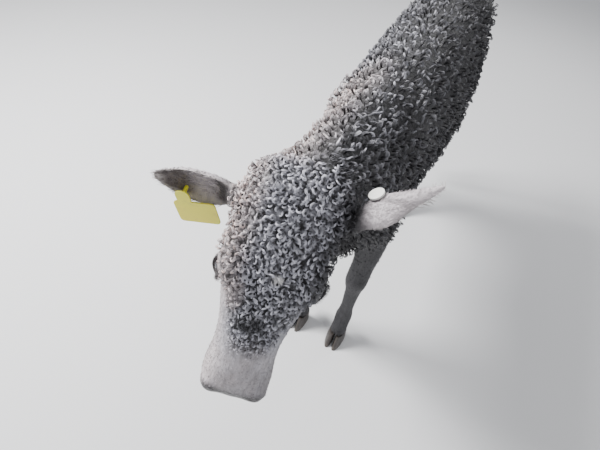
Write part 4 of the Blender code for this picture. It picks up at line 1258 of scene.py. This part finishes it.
def skin_material():
    """Skin and the flat short hair on it, coloured as the coat, with its painted light and shade."""
    colours = bpy.context.scene.bull_colours

    def colour(tree, point):
        laid = combed(tree, point)
        hairs = tree.noise(laid, 620.0, 2.0, 0.6) * 0.5 + tree.noise(laid, 190.0, 3.0, 0.6).step(0.30, 0.70) * 0.5
        head = tree.mark("head")
        # Under the curls the skin stays near black: black hair at the roots and painted shade between the curls,
        # with a few lighter hairs.
        under = tree.noise(point, 130.0, 3.0, 0.6).step(0.48 - head * 0.10, 0.74) * (1.0 + head * 0.6)
        covered = tree.mark("curl").step(0.05, 0.45)
        tip = (1.0 - covered) * (0.16 + hairs * 0.66) + covered * under * 0.40
        coat = markings_and_painted_light(tree, point, tip)
        ears = tree.mix(hairs * 0.30, ear_colour(tree), EAR_SKIN)
        return tree.mix(tree.mark("bare"), tree.mix(tree.mark("ear"), coat, ears), tuple(colours.muzzle))

    def roughness(tree, point):
        return 0.60 - tree.mark("bare") * 0.30

    def bump(tree, point):
        naked = tree.mark("bare")
        hairs = tree.noise(combed(tree, point), 520.0, 3.0, 0.6)
        clumps = tree.noise(combed(tree, point), 110.0, 2.0, 0.5)
        under = tree.noise(point, 130.0, 3.0, 0.6) * tree.mark("curl").step(0.05, 0.45) * 3.0
        pores = tree.add("ShaderNodeTexVoronoi", None, {"Vector": point, "Scale": 240.0})["Distance"]
        made = (hairs * 0.7 + clumps * 0.9 + under) * (1.0 - naked) + pores * naked * 0.8
        for hand in (1, -1):
            away = tree.away(point, eye_axes(hand)[0] + SHIFT)
            far = tree.add("ShaderNodeVectorMath", {"operation": "LENGTH"}, {0: away})["Value"]
            wander = tree.noise(point, 90.0, 1.0) * 2.5
            fold = tree.add("ShaderNodeMath", {"operation": "SINE"}, {0: far * FOLDS_APART + wander})[0]
            made = made + fold * (1.0 - far.step(*(EYE_RADIUS + past for past in FOLDS_FADE))) * 0.9
        return made
    return material("skin", colour, roughness, bump, 0.85, 0.0022)


# Locks and tufts

def strand_rings(path, across, half, flat, steps):
    """Rings of a tapering three-sided strand along a path."""
    rings = []
    for step in range(steps + 1):
        t = step / steps
        here = path(t)
        along = (path(min(t + 0.02, 1.0)) - path(max(t - 0.02, 0.0))).normalized()
        aside = (across - along * across.dot(along)).normalized()
        up = along.cross(aside)
        width = half * (1.0 - 0.25 * t) * (1.0 if step < steps else 0.18)
        rings.append(lambda a, c=here, s=aside, u=up, w=width:
                     c + s * (w * math.cos(a)) + u * (w * flat * math.sin(a)))
    return rings


def hold(bm, name, group):
    """Keep a lock in a collection of its own, out of the scene."""
    mesh = bpy.data.meshes.new(name)
    settle(bm)
    bm.to_mesh(mesh)
    bm.free()
    mesh.shade_smooth()
    group.objects.link(bpy.data.objects.new(name, mesh))


def curl_lock(name, group, chance, leaves, ring, thick, lowest, highest):
    """A comma-shaped lock: strands that leave one root, sweep round one middle and meet at the tip."""
    bm = bmesh.new()
    strand = bm.verts.layers.float_vector.new("strand")
    tilt = math.radians(chance.uniform(lowest, highest))
    hand = chance.choice((1.0, -1.0))
    rising = Vector((0.0, math.sin(tilt) * hand, math.cos(tilt)))
    axis = Vector((0.0, -math.cos(tilt) * hand, math.sin(tilt)))
    forward = Vector(LEFTWARD)
    turn = math.radians(chance.uniform(215.0, 330.0))
    start = math.radians(chance.uniform(160.0, 215.0))
    middle = Vector((0.0, 0.0, ring * math.cos(tilt) + chance.uniform(0.12, 0.42)))
    low = Vector((-0.9 * ring, 0.0, -0.22))
    for leaf in range(leaves):
        place = leaf / (leaves - 1)
        radius = ring * (0.52 + 0.74 * place + chance.uniform(-0.05, 0.05))
        rise = chance.uniform(0.02, 0.14)
        reach = turn * chance.uniform(0.88, 1.06)

        def path(t, r=radius, up=rise, far=reach):
            angle = start - far * max(t - 0.12, 0.0) / 0.88
            size = ring * 0.60 + (r - ring * 0.60) * (1.0 - t * t)
            round_middle = forward * (size * math.cos(angle)) + rising * (size * math.sin(angle))
            curl = middle + round_middle + axis * (up * math.sin(math.pi * t) * 1.6)
            return low.lerp(curl, fade(t, 0.0, 0.20))
        loft(bm, strand_rings(path, axis, thick * chance.uniform(0.85, 1.15), 0.75, LOCK_STEPS), 3, strand)
    hold(bm, name, group)


def wavy_lock(name, group, chance, hairs, half):
    """A loose lock: strands that lie along the skin in one wave and turn up at the tip."""
    bm = bmesh.new()
    strand = bm.verts.layers.float_vector.new("strand")
    swing = chance.uniform(0.14, 0.26) * chance.choice((1.0, -1.0))
    for hair in range(hairs):
        place = (hair - (hairs - 1) * 0.5) * half * 1.5
        length = chance.uniform(0.80, 1.05)
        lift = chance.uniform(0.20, 0.34)

        def path(t, p=place, k=length, up=lift):
            wave = swing * math.sin(t * 5.2) + p * (1.0 - 0.7 * t)
            return Vector((k * t - 0.12, wave, up * math.sin(2.3 * t) + 0.10 * t * t - 0.14 * (1.0 - t)))
        loft(bm, strand_rings(path, Vector(BACKWARD), half, 0.5, LOCK_STEPS), 3, strand)
    hold(bm, name, group)


def flat_tuft(name, group, chance, hairs, half, rise, steps, spread=0.35):
    """A tuft of hairs that lie forward from one root, of length one."""
    bm = bmesh.new()
    strand = bm.verts.layers.float_vector.new("strand")
    for hair in range(hairs):
        place = (hair - (hairs - 1) * 0.5) / max(hairs - 1, 1)
        side = place * spread + chance.uniform(-0.08, 0.08)
        bend = chance.uniform(-0.16, 0.16)
        length = chance.uniform(0.75, 1.0)
        lift = rise * chance.uniform(0.7, 1.2)

        def path(t, s=side, b=bend, k=length, up=lift):
            return Vector((k * t - 0.05, s * (0.4 + 0.6 * t) + b * t * t, up * math.sin(1.9 * t) - 0.08 * (1.0 - t)))
        loft(bm, strand_rings(path, Vector(BACKWARD), half, 0.5, steps), 3, strand)
    hold(bm, name, group)


def tight_lock(name, group, chance):
    """A tight curl of the head."""
    curl_lock(name, group, chance, 5, 0.36, 0.050, 40.0, 80.0)


def wide_lock(name, group, chance):
    """A lock of neck and trunk: some are curls, the others waves."""
    if len(group.objects) < WIDE_CURLS:
        curl_lock(name, group, chance, 4, 0.37, 0.056, 30.0, 76.0)
    else:
        wavy_lock(name, group, chance, 4, 0.056)


def tuft_of(*shape):
    """What makes a flat tuft of one shape."""
    return lambda name, group, chance: flat_tuft(name, group, chance, *shape)


def lock_group(name, make, count, seed):
    """A collection of several locks of one kind."""
    group = bpy.data.collections.new(name)
    chance = random.Random(seed)
    for number in range(count):
        make("%s_%d" % (name, number), group, chance)
    return group


def scatter(name, skin, group, mask, apart, scale, swirl=0.0, lean=0.0, spread=0.6, seed=0, flat_only=0.0):
    """Set locks on the skin: mask says where, scale how large, swirl and spread how far they turn off the lie."""
    source = bpy.data.objects.new(name, skin.data.copy())
    bpy.context.scene.collection.objects.link(source)
    nodes = bpy.data.node_groups.new(name, "GeometryNodeTree")
    for way in ("INPUT", "OUTPUT"):
        nodes.interface.new_socket(name="Geometry", in_out=way, socket_type="NodeSocketGeometry")
    tree = Tree(nodes)
    start = tree.add("NodeGroupInput")

    def named(key, kind="FLOAT"):
        return tree.add("GeometryNodeInputNamedAttribute", {"data_type": kind}, {"Name": key})["Attribute"]

    def chance(low, high, salt, kind="FLOAT"):
        return tree.add("FunctionNodeRandomValue", {"data_type": kind},
                        {"Min": low, "Max": high, "Seed": seed * 17 + salt})["Value"]

    def turned(rotation, axis, angle):
        turn = tree.add("FunctionNodeAxisAngleToRotation", None, {"Axis": axis, "Angle": angle})["Rotation"]
        return tree.add("FunctionNodeRotateRotation", {"rotation_space": "LOCAL"},
                        {"Rotation": rotation, "Rotate By": turn})["Rotation"]

    way = named("lie", "FLOAT_VECTOR")
    upwards = tree.vector("DOT_PRODUCT", tree.add("GeometryNodeInputNormal")["Normal"], way)["Value"]
    lies = 1.0 - (upwards ** 2.0).step(0.45, 0.62) * flat_only
    grown = tree.add("GeometryNodeDistributePointsOnFaces", {"distribute_method": "POISSON"},
                     {"Mesh": start["Geometry"], "Distance Min": apart, "Density Max": DENSITY / (apart * apart),
                      "Density Factor": mask(tree, named) * lies, "Seed": seed})
    points = tree.add("GeometryNodeStoreNamedAttribute", {"data_type": "FLOAT", "domain": "POINT"},
                      {"Geometry": grown["Points"], "Name": "tone", "Value": chance(0.0, 1.0, 1)})["Geometry"]

    # Each lock stands on the skin along the lie, swirls off it and is tipped forward
    rotation = tree.add("FunctionNodeAlignRotationToVector", {"axis": "Z"},
                        {"Vector": grown["Normal"]})["Rotation"]
    rotation = tree.add("FunctionNodeAlignRotationToVector", {"axis": "X", "pivot_axis": "Z"},
                        {"Rotation": rotation, "Vector": way})["Rotation"]
    drift = (tree.noise(tree.root(), 14.0, 1.0) - 0.5) * swirl + chance(-spread, spread, 2)
    rotation = turned(rotation, UPWARD, drift)
    rotation = turned(rotation, BACKWARD, chance(lean - TIP_SWING, lean + TIP_SWING, 3))
    size = scale(tree, named) * chance(*LOCK_SIZES, 4)
    sizes = tree.add("ShaderNodeCombineXYZ", None, {"X": size, "Y": size, "Z": size})["Vector"]
    locks = tree.add("GeometryNodeCollectionInfo", None,
                     {"Collection": group, "Separate Children": True, "Reset Children": True})["Instances"]
    set_out = tree.add("GeometryNodeInstanceOnPoints", None,
                       {"Points": points, "Instance": locks, "Pick Instance": True,
                        "Instance Index": chance(0, len(group.objects) - 1, 5, "INT"),
                        "Rotation": rotation, "Scale": sizes})["Instances"]
    real = tree.add("GeometryNodeRealizeInstances", None, {"Geometry": set_out})["Geometry"]

    # Its patch on the unwrapped skin, round the place of its root
    strand = tree.away(named("strand", "FLOAT_VECTOR"), (0.5, 0.5, 0.0))
    small = tree.add("ShaderNodeVectorMath", {"operation": "SCALE"}, {0: strand, "Scale": PATCH})["Vector"]
    flat = tree.vector("ADD", named("unwrap", "FLOAT_VECTOR"), small)["Vector"]
    done = tree.add("GeometryNodeStoreNamedAttribute", {"data_type": "FLOAT2", "domain": "CORNER"},
                    {"Geometry": real, "Name": "OFBake", "Value": flat})["Geometry"]
    tree.put(tree.add("NodeGroupOutput").node.inputs[0], done)

    grower = source.modifiers.new("grow", "NODES")
    grower.node_group = nodes
    made = evaluated(source, name)
    bpy.data.node_groups.remove(nodes)
    for attribute in ("curl", "fur", "ear", "bare", "depth", "head", "lie", "unwrap", "turn"):
        if attribute in made.data.attributes:
            made.data.attributes.remove(made.data.attributes[attribute])
    return made


def drop_group(group):
    """Take a collection of locks out of the file."""
    for lock in list(group.objects):
        remove(lock)
    bpy.data.collections.remove(group)


def dress(piece, look):
    """Give a finished piece its material, slot and body."""
    piece.data.materials.clear()
    piece.data.materials.append(look)
    piece.data.shade_smooth()
    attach(piece, "root")


# Where each kind of hair grows and how long it is, as sockets

def curl_band(low, high, on_head_only):
    """Curls between two places along the body, of the head or of the rest."""
    def mask(tree, named):
        along = tree.along(tree.root(), BACKWARD)
        here = along.above(low + SHIFT.y) * along.below(high + SHIFT.y)
        head = named("head").above(0.5)
        return named("curl").step(0.04, 0.40) * here * (head if on_head_only else 1.0 - head)
    return mask


def curl_height(low, gain):
    """Size of the locks, smaller where the coat thins out."""
    return lambda tree, named: named("depth") * (low + named("curl") * gain)


def body_fur(front):
    """Short fur behind the head, of the front or the rear half."""
    def mask(tree, named):
        behind = tree.along(tree.root(), BACKWARD).above(SHIFT.y)
        fur = named("fur").step(0.05, 0.5) * (1.0 - named("head").step(0.2, 0.6)) * (1.0 - named("ear"))
        return fur * (1.0 - behind if front else behind)
    return mask


def face_fur(tree, named):
    """Short fur of the head."""
    return named("fur").step(0.1, 0.6) * named("head").step(0.2, 0.6) * (1.0 - named("ear").step(0.1, 0.5))


def switch_roots(tree, named):
    """The lower end of the tail."""
    back = tree.along(tree.root(), BACKWARD).step(SHIFT.y + SWITCH_BACK, SHIFT.y + SWITCH_BACK + 0.005)
    return back * (1.0 - tree.along(tree.root(), UPWARD).step(*SWITCH_TOP))


def longer_up(tree, named):
    """Length of the body's fur, longer towards the belly."""
    height = tree.along(tree.root(), UPWARD)
    return bpy.context.scene.bull_sizes.fur_length * (0.8 + height.step(0.20, 0.52) * 0.9)


def longer_back(tree, named):
    """Length of the face's fur, longer towards the neck."""
    ahead = ahead_of_neck(tree, tree.root())
    return bpy.context.scene.bull_sizes.fur_length * (1.45 - ahead.step(0.01, 0.12) * 0.70)


# Operators

class BULL_OT_stage(bpy.types.Operator):
    """Floor, light and the photo's camera"""
    bl_idname = "bull.stage"
    bl_label = "Stage"

    def execute(self, context):
        scene = context.scene
        colours = scene.bull_colours
        size = scene.bull_sizes.floor_size
        bm = bmesh.new()
        bmesh.ops.create_grid(bm, x_segments=1, y_segments=1, size=size * 0.5)
        mesh = bpy.data.meshes.new("floor")
        bm.to_mesh(mesh)
        bm.free()
        floor = bpy.data.objects.new("floor", mesh)
        scene.collection.objects.link(floor)
        mesh.materials.append(material("floor", tuple(colours.stage), 0.85))
        world = bpy.data.worlds.new("studio")
        world.use_nodes = True
        background = world.node_tree.nodes["Background"]
        background.inputs["Color"].default_value = ROOM_LIGHT
        background.inputs["Strength"].default_value = ROOM_STRENGTH
        scene.world = world
        for name, place, target, power_watts, width in LIGHTS:
            light = bpy.data.lights.new(name, "AREA")
            light.energy = power_watts
            light.size = width
            lamp = bpy.data.objects.new(name, light)
            lamp.location = Vector(place) + SHIFT
            lamp.rotation_euler = (Vector(target) - Vector(place)).to_track_quat("-Z", "Y").to_euler()
            scene.collection.objects.link(lamp)
        yaw = math.radians(CAMERA_YAW)
        pitch = math.radians(CAMERA_PITCH)
        roll = math.radians(CAMERA_ROLL)
        level = Vector((-math.sin(yaw), math.cos(yaw), 0.0))
        sky = Vector(UPWARD)
        forward = level * math.cos(pitch) - sky * math.sin(pitch)
        top = level * math.sin(pitch) + sky * math.cos(pitch)
        right = forward.cross(top)
        across = right * math.cos(roll) + top * math.sin(roll)
        upward = top * math.cos(roll) - right * math.sin(roll)
        data = bpy.data.cameras.new("photo")
        data.sensor_width = 36.0
        data.lens = CAMERA_LENS
        data.clip_start = 0.02
        camera = bpy.data.objects.new("photo", data)
        scene.collection.objects.link(camera)
        turned = Matrix((across, upward, -forward)).transposed().to_4x4()
        camera.matrix_world = Matrix.Translation(Vector(CAMERA_PLACE) + SHIFT) @ turned
        scene.camera = camera
        return {"FINISHED"}


class BULL_OT_skin(bpy.types.Operator):
    """One skin over the whole body, with ears, lids, nostrils and the line of the mouth"""
    bl_idname = "bull.skin"
    bl_label = "Skin"

    def execute(self, context):
        skin = fuse("skin", body_masses(), VOXEL)
        even_out(skin)
        cutters = face_cutters(skin)
        lids = []
        for hand in (1, -1):
            centre, look, corner, brow = eye_axes(hand)
            radius = EYE_RADIUS + LID_THICKNESS
            lids.append(ball("lids", centre, (radius, radius * 1.06, radius), (look, corner, brow)))
        skin = combine(skin, lids + [ear(1), ear(-1)], "UNION", "skin")
        skin = combine(skin, cutters + [below_hooves()], "DIFFERENCE", "skin")
        mark_skin(skin, context.scene.bull_sizes)
        skin.data.transform(Matrix.Translation(SHIFT))
        dress(skin, skin_material())
        skin.data.set_sharp_from_angle(angle=math.radians(50.0))
        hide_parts("torso", "neck", "head", "tail", "foreleg_left", "foreleg_right",
                    "hindleg_left", "hindleg_right", "ear_left", "ear_right")
        return {"FINISHED"}


def need_skin():
    """The skin, which the coat grows on."""
    skin = bpy.data.objects.get("skin")
    if skin is None:
        raise RuntimeError("make the skin before the coat")
    return skin


class BULL_OT_curls(bpy.types.Operator):
    """The curly coat of head, neck and trunk"""
    bl_idname = "bull.curls"
    bl_label = "Curly coat"

    def execute(self, context):
        skin = need_skin()
        sizes = context.scene.bull_sizes
        tight = lock_group("tight", tight_lock, LOCKS, sizes.seed)
        wide = lock_group("wide", wide_lock, LOCKS, sizes.seed + 1)
        look = coat_material("curls", 0.02, 1.15, 0.75, 0.38)
        # The head's curls start lighter at the root than the rest: silvery tips and painted highlight of the lit
        # forehead.
        head_look = coat_material("curls_head", 0.26, 1.25, 0.60, 0.38)
        rest = curl_height(0.30, 0.52)
        kinds = (
            ("head", HEAD_SLICES, tight, sizes.curl_apart_head, curl_height(0.34, 0.50), 7.0, 0.9, 0, head_look),
            ("neck", NECK_SLICES, wide, sizes.curl_apart_neck, rest, 6.0, 0.8, 3, look),
            ("trunk", TRUNK_SLICES, wide, sizes.curl_apart_trunk, rest, 6.0, 0.8, 6, look),
        )
        for kind, slices, group, apart, height, swirl, spread, salt, look_of_kind in kinds:
            for number, (low, high) in enumerate(slices):
                piece = scatter("curls_%s_%d" % (kind, number + 1), skin, group,
                                curl_band(low, high, kind == "head"), apart, height,
                                swirl=swirl, spread=spread, seed=sizes.seed + salt + number)
                dress(piece, look_of_kind)
        drop_group(tight)
        drop_group(wide)
        return {"FINISHED"}


class BULL_OT_fur(bpy.types.Operator):
    """Short fur of the face, belly and legs, and the lashes"""
    bl_idname = "bull.fur"
    bl_label = "Short fur"

    def execute(self, context):
        skin = need_skin()
        sizes = context.scene.bull_sizes
        look = coat_material("fur", 0.22, 0.46, 0.50, 0.50)
        short = lock_group("short", tuft_of(3, 0.060, 0.13, 2, 0.50), TUFTS, sizes.seed + 20)
        kinds = (
            ("fur_front", body_fur(True), sizes.fur_apart, longer_up, 23),
            ("fur_rear", body_fur(False), sizes.fur_apart, longer_up, 21),
            ("fur_face", face_fur, sizes.fur_apart * 0.58, longer_back, 22),
        )
        for name, mask, apart, height, salt in kinds:
            piece = scatter(name, skin, short, mask, apart, height,
                            swirl=1.2, spread=0.35, seed=sizes.seed + salt)
            dress(piece, look)
        drop_group(short)
        thin = lock_group("thin", tuft_of(2, 0.026, 0.20, 4, 0.25), LASH_TUFTS, sizes.seed + 24)
        lashes = scatter("lashes", skin, thin, lambda tree, named: named("lash").step(0.3, 0.6), LASH_APART,
                         lambda tree, named: LASH_LENGTH, lean=-0.65, spread=0.20, seed=sizes.seed + 25)
        dress(lashes, coat_material("lashes", 0.0, 0.10, 0.2, 0.35))
        drop_group(thin)
        return {"FINISHED"}


class BULL_OT_ear_hair(bpy.types.Operator):
    """Hair of the ears, longest in the cups"""
    bl_idname = "bull.ear_hair"
    bl_label = "Ear hair"

    def execute(self, context):
        skin = need_skin()
        seed = context.scene.bull_sizes.seed
        fine = lock_group("fine", tuft_of(4, 0.034, 0.16, 3, 0.45), TUFTS, seed + 30)
        piece = scatter("hair_ears", skin, fine, lambda tree, named: named("ear").step(0.3, 0.8), EAR_HAIR_APART,
                        lambda tree, named: 0.0095 + named("cup") * 0.0035,
                        swirl=0.8, spread=0.30, seed=seed + 31)
        dress(piece, ear_hair_material())
        drop_group(fine)
        return {"FINISHED"}


class BULL_OT_switch(bpy.types.Operator):
    """Long hair at the end of the tail"""
    bl_idname = "bull.switch"
    bl_label = "Switch of the tail"

    def execute(self, context):
        skin = need_skin()
        seed = context.scene.bull_sizes.seed
        long = lock_group("long", tuft_of(3, 0.022, 0.10, 7, 0.10), TUFTS, seed + 40)
        piece = scatter("switch_tail", skin, long, switch_roots, SWITCH_APART, lambda tree, named: SWITCH_LENGTH,
                        swirl=0.6, lean=0.02, spread=0.10, seed=seed + 41, flat_only=1.0)
        dress(piece, coat_material("switch", 0.10, 0.45, 0.4, 0.42))
        drop_group(long)
        return {"FINISHED"}


class BULL_OT_eyes(bpy.types.Operator):
    """Wet dark eyes"""
    bl_idname = "bull.eyes"
    bl_label = "Eyes"

    def execute(self, context):
        colours = context.scene.bull_colours
        for hand, side in ((1, "left"), (-1, "right")):
            centre, look, corner, brow = eye_axes(hand)
            eye = ball("eyeball_" + side, centre + SHIFT, (EYE_RADIUS,) * 3, (look, corner, brow), detail=5)

            def colour(tree, point, centre=centre, look=look, corner=corner, brow=brow):
                away = tree.away(point, centre + SHIFT)
                across = tree.along(away, corner) / EYE_RADIUS
                up = tree.along(away, brow) / EYE_RADIUS
                ring = (across ** 2.0 + up ** 2.0) ** 0.5
                pupil = 1.0 - ((across / 0.42) ** 2.0 + (up / 0.24) ** 2.0).step(0.85, 1.1)
                streaks = tree.noise(point, 900.0, 2.0)
                iris = tree.mix(streaks, tuple(colours.iris), IRIS_STREAK)
                white = tree.mix(ring.step(0.78, 0.92), iris, EYE_WHITE)
                return tree.mix(pupil, white, PUPIL)
            look_of_eye = material("eye_" + side, colour, 0.06, Coat_Weight=1.0, Coat_Roughness=0.02)
            dress(eye, look_of_eye)
            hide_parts("eye_" + side)
        return {"FINISHED"}


def claw_rings(centre, hand, inner):
    """Rings of one claw, upright at the cleft and sloping forward at the toe."""
    rings = []
    for share, longer, wider in CLAW_RINGS:
        height = HOOF_HEIGHT * share
        length_here = HOOF_LENGTH * (1.0 - TOE_SLOPE * share) * longer
        width = (HOOF_WIDTH - CLEFT) * 0.5 * (1.0 - CLAW_TAPER * share) * wider
        toe = centre[1] + HOOF_LENGTH * (TOE_SLOPE * share - 0.5)

        def ring(a, z=height, l=length_here, w=width, t=toe):
            outward = power(math.cos(a), CLAW_SQUARE[0]) * 0.5 + 0.5
            back = power(math.sin(a), CLAW_SQUARE[1]) * 0.5 + 0.5
            squeeze = 1.0 - CLAW_POINT * (1.0 - back) * (1.0 - back)
            x = CLEFT * 0.5 + w * outward * squeeze
            return Vector(((centre[0] + x * inner) * hand, t + l * back, z)) + SHIFT
        rings.append(ring)
    return rings


class BULL_OT_hooves(bpy.types.Operator):
    """Two claws of dark horn on each foot"""
    bl_idname = "bull.hooves"
    bl_label = "Hooves"

    def execute(self, context):
        colours = context.scene.bull_colours

        def banded(tree, point):
            return tree.noise(point, 30.0, 2.0, stretch=(0.15, 0.15, 7.0))

        def colour(tree, point):
            low = 1.0 - tree.along(point, UPWARD).step(0.0, 0.02)
            horn = tree.mix(banded(tree, point), tuple(colours.horn), HORN_BAND)
            return tree.mix(low * 0.5, horn, HORN_WORN)

        def bump(tree, point):
            return banded(tree, point) + tree.noise(point, 260.0, 2.0) * 0.3
        look = material("hoof", colour, 0.42, bump, 0.5, 0.0012)
        for end, centre in HOOVES.items():
            for hand, side in ((1, "left"), (-1, "right")):
                for inner, place in ((1, "outer"), (-1, "inner")):
                    where = "%s_%s_%s" % (end, side, place)
                    hoof = lofted("hoof_" + where, claw_rings(centre, hand, inner), 40)
                    dress(hoof, look)
                    hoof.data.set_sharp_from_angle(angle=math.radians(55.0))
                    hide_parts("claw_" + where)
        return {"FINISHED"}


class BULL_OT_tags(bpy.types.Operator):
    """Moulded plastic of the ear tags"""
    bl_idname = "bull.tags"
    bl_label = "Ear tags"

    def execute(self, context):
        colours = context.scene.bull_colours

        def colour(tree, point):
            worn = tree.noise(point, 60.0, 3.0)
            return tree.mix(worn.step(0.55, 0.75) * 0.5, tuple(colours.tag), TAG_WORN)

        def bump(tree, point):
            return tree.noise(point, 300.0, 2.0)
        look = material("tag", colour, 0.38, bump, 0.2, 0.0004, Subsurface_Weight=0.08)
        white = material("button", BUTTON, 0.35, bump, 0.2, 0.0004)
        for side, look_of_side in (("left", white), ("right", look)):
            node = frame["nodes"]["tag_" + side]
            node.data.materials.clear()
            node.data.materials.append(look_of_side)
        return {"FINISHED"}


class BULL_PT_panel(bpy.types.Panel):
    """Lists what the add-on makes"""
    bl_idname = "BULL_PT_panel"
    bl_label = "Bull"
    bl_space_type = "VIEW_3D"
    bl_region_type = "UI"
    bl_category = "Bull"

    def draw(self, context):
        for made in OPERATORS:
            self.layout.operator(made.bl_idname)
        for group in (context.scene.bull_sizes, context.scene.bull_colours):
            for name in group.__annotations__:
                self.layout.prop(group, name)


OPERATORS = (BULL_OT_stage, BULL_OT_skin, BULL_OT_curls, BULL_OT_fur, BULL_OT_ear_hair, BULL_OT_switch,
             BULL_OT_eyes, BULL_OT_hooves, BULL_OT_tags)
CLASSES = (BullSizes, BullColours) + OPERATORS + (BULL_PT_panel,)


def register():
    """Register the classes and the scene's properties."""
    for made in CLASSES:
        bpy.utils.register_class(made)
    bpy.types.Scene.bull_sizes = PointerProperty(type=BullSizes)
    bpy.types.Scene.bull_colours = PointerProperty(type=BullColours)


def unregister():
    """Take them back."""
    del bpy.types.Scene.bull_colours
    del bpy.types.Scene.bull_sizes
    for made in reversed(CLASSES):
        bpy.utils.unregister_class(made)


def main():
    """Make every piece."""
    register()
    for made in OPERATORS:
        group, name = made.bl_idname.split(".")
        getattr(getattr(bpy.ops, group), name)()
    bpy.context.view_layer.update()


if __name__ == "__main__":
    main()
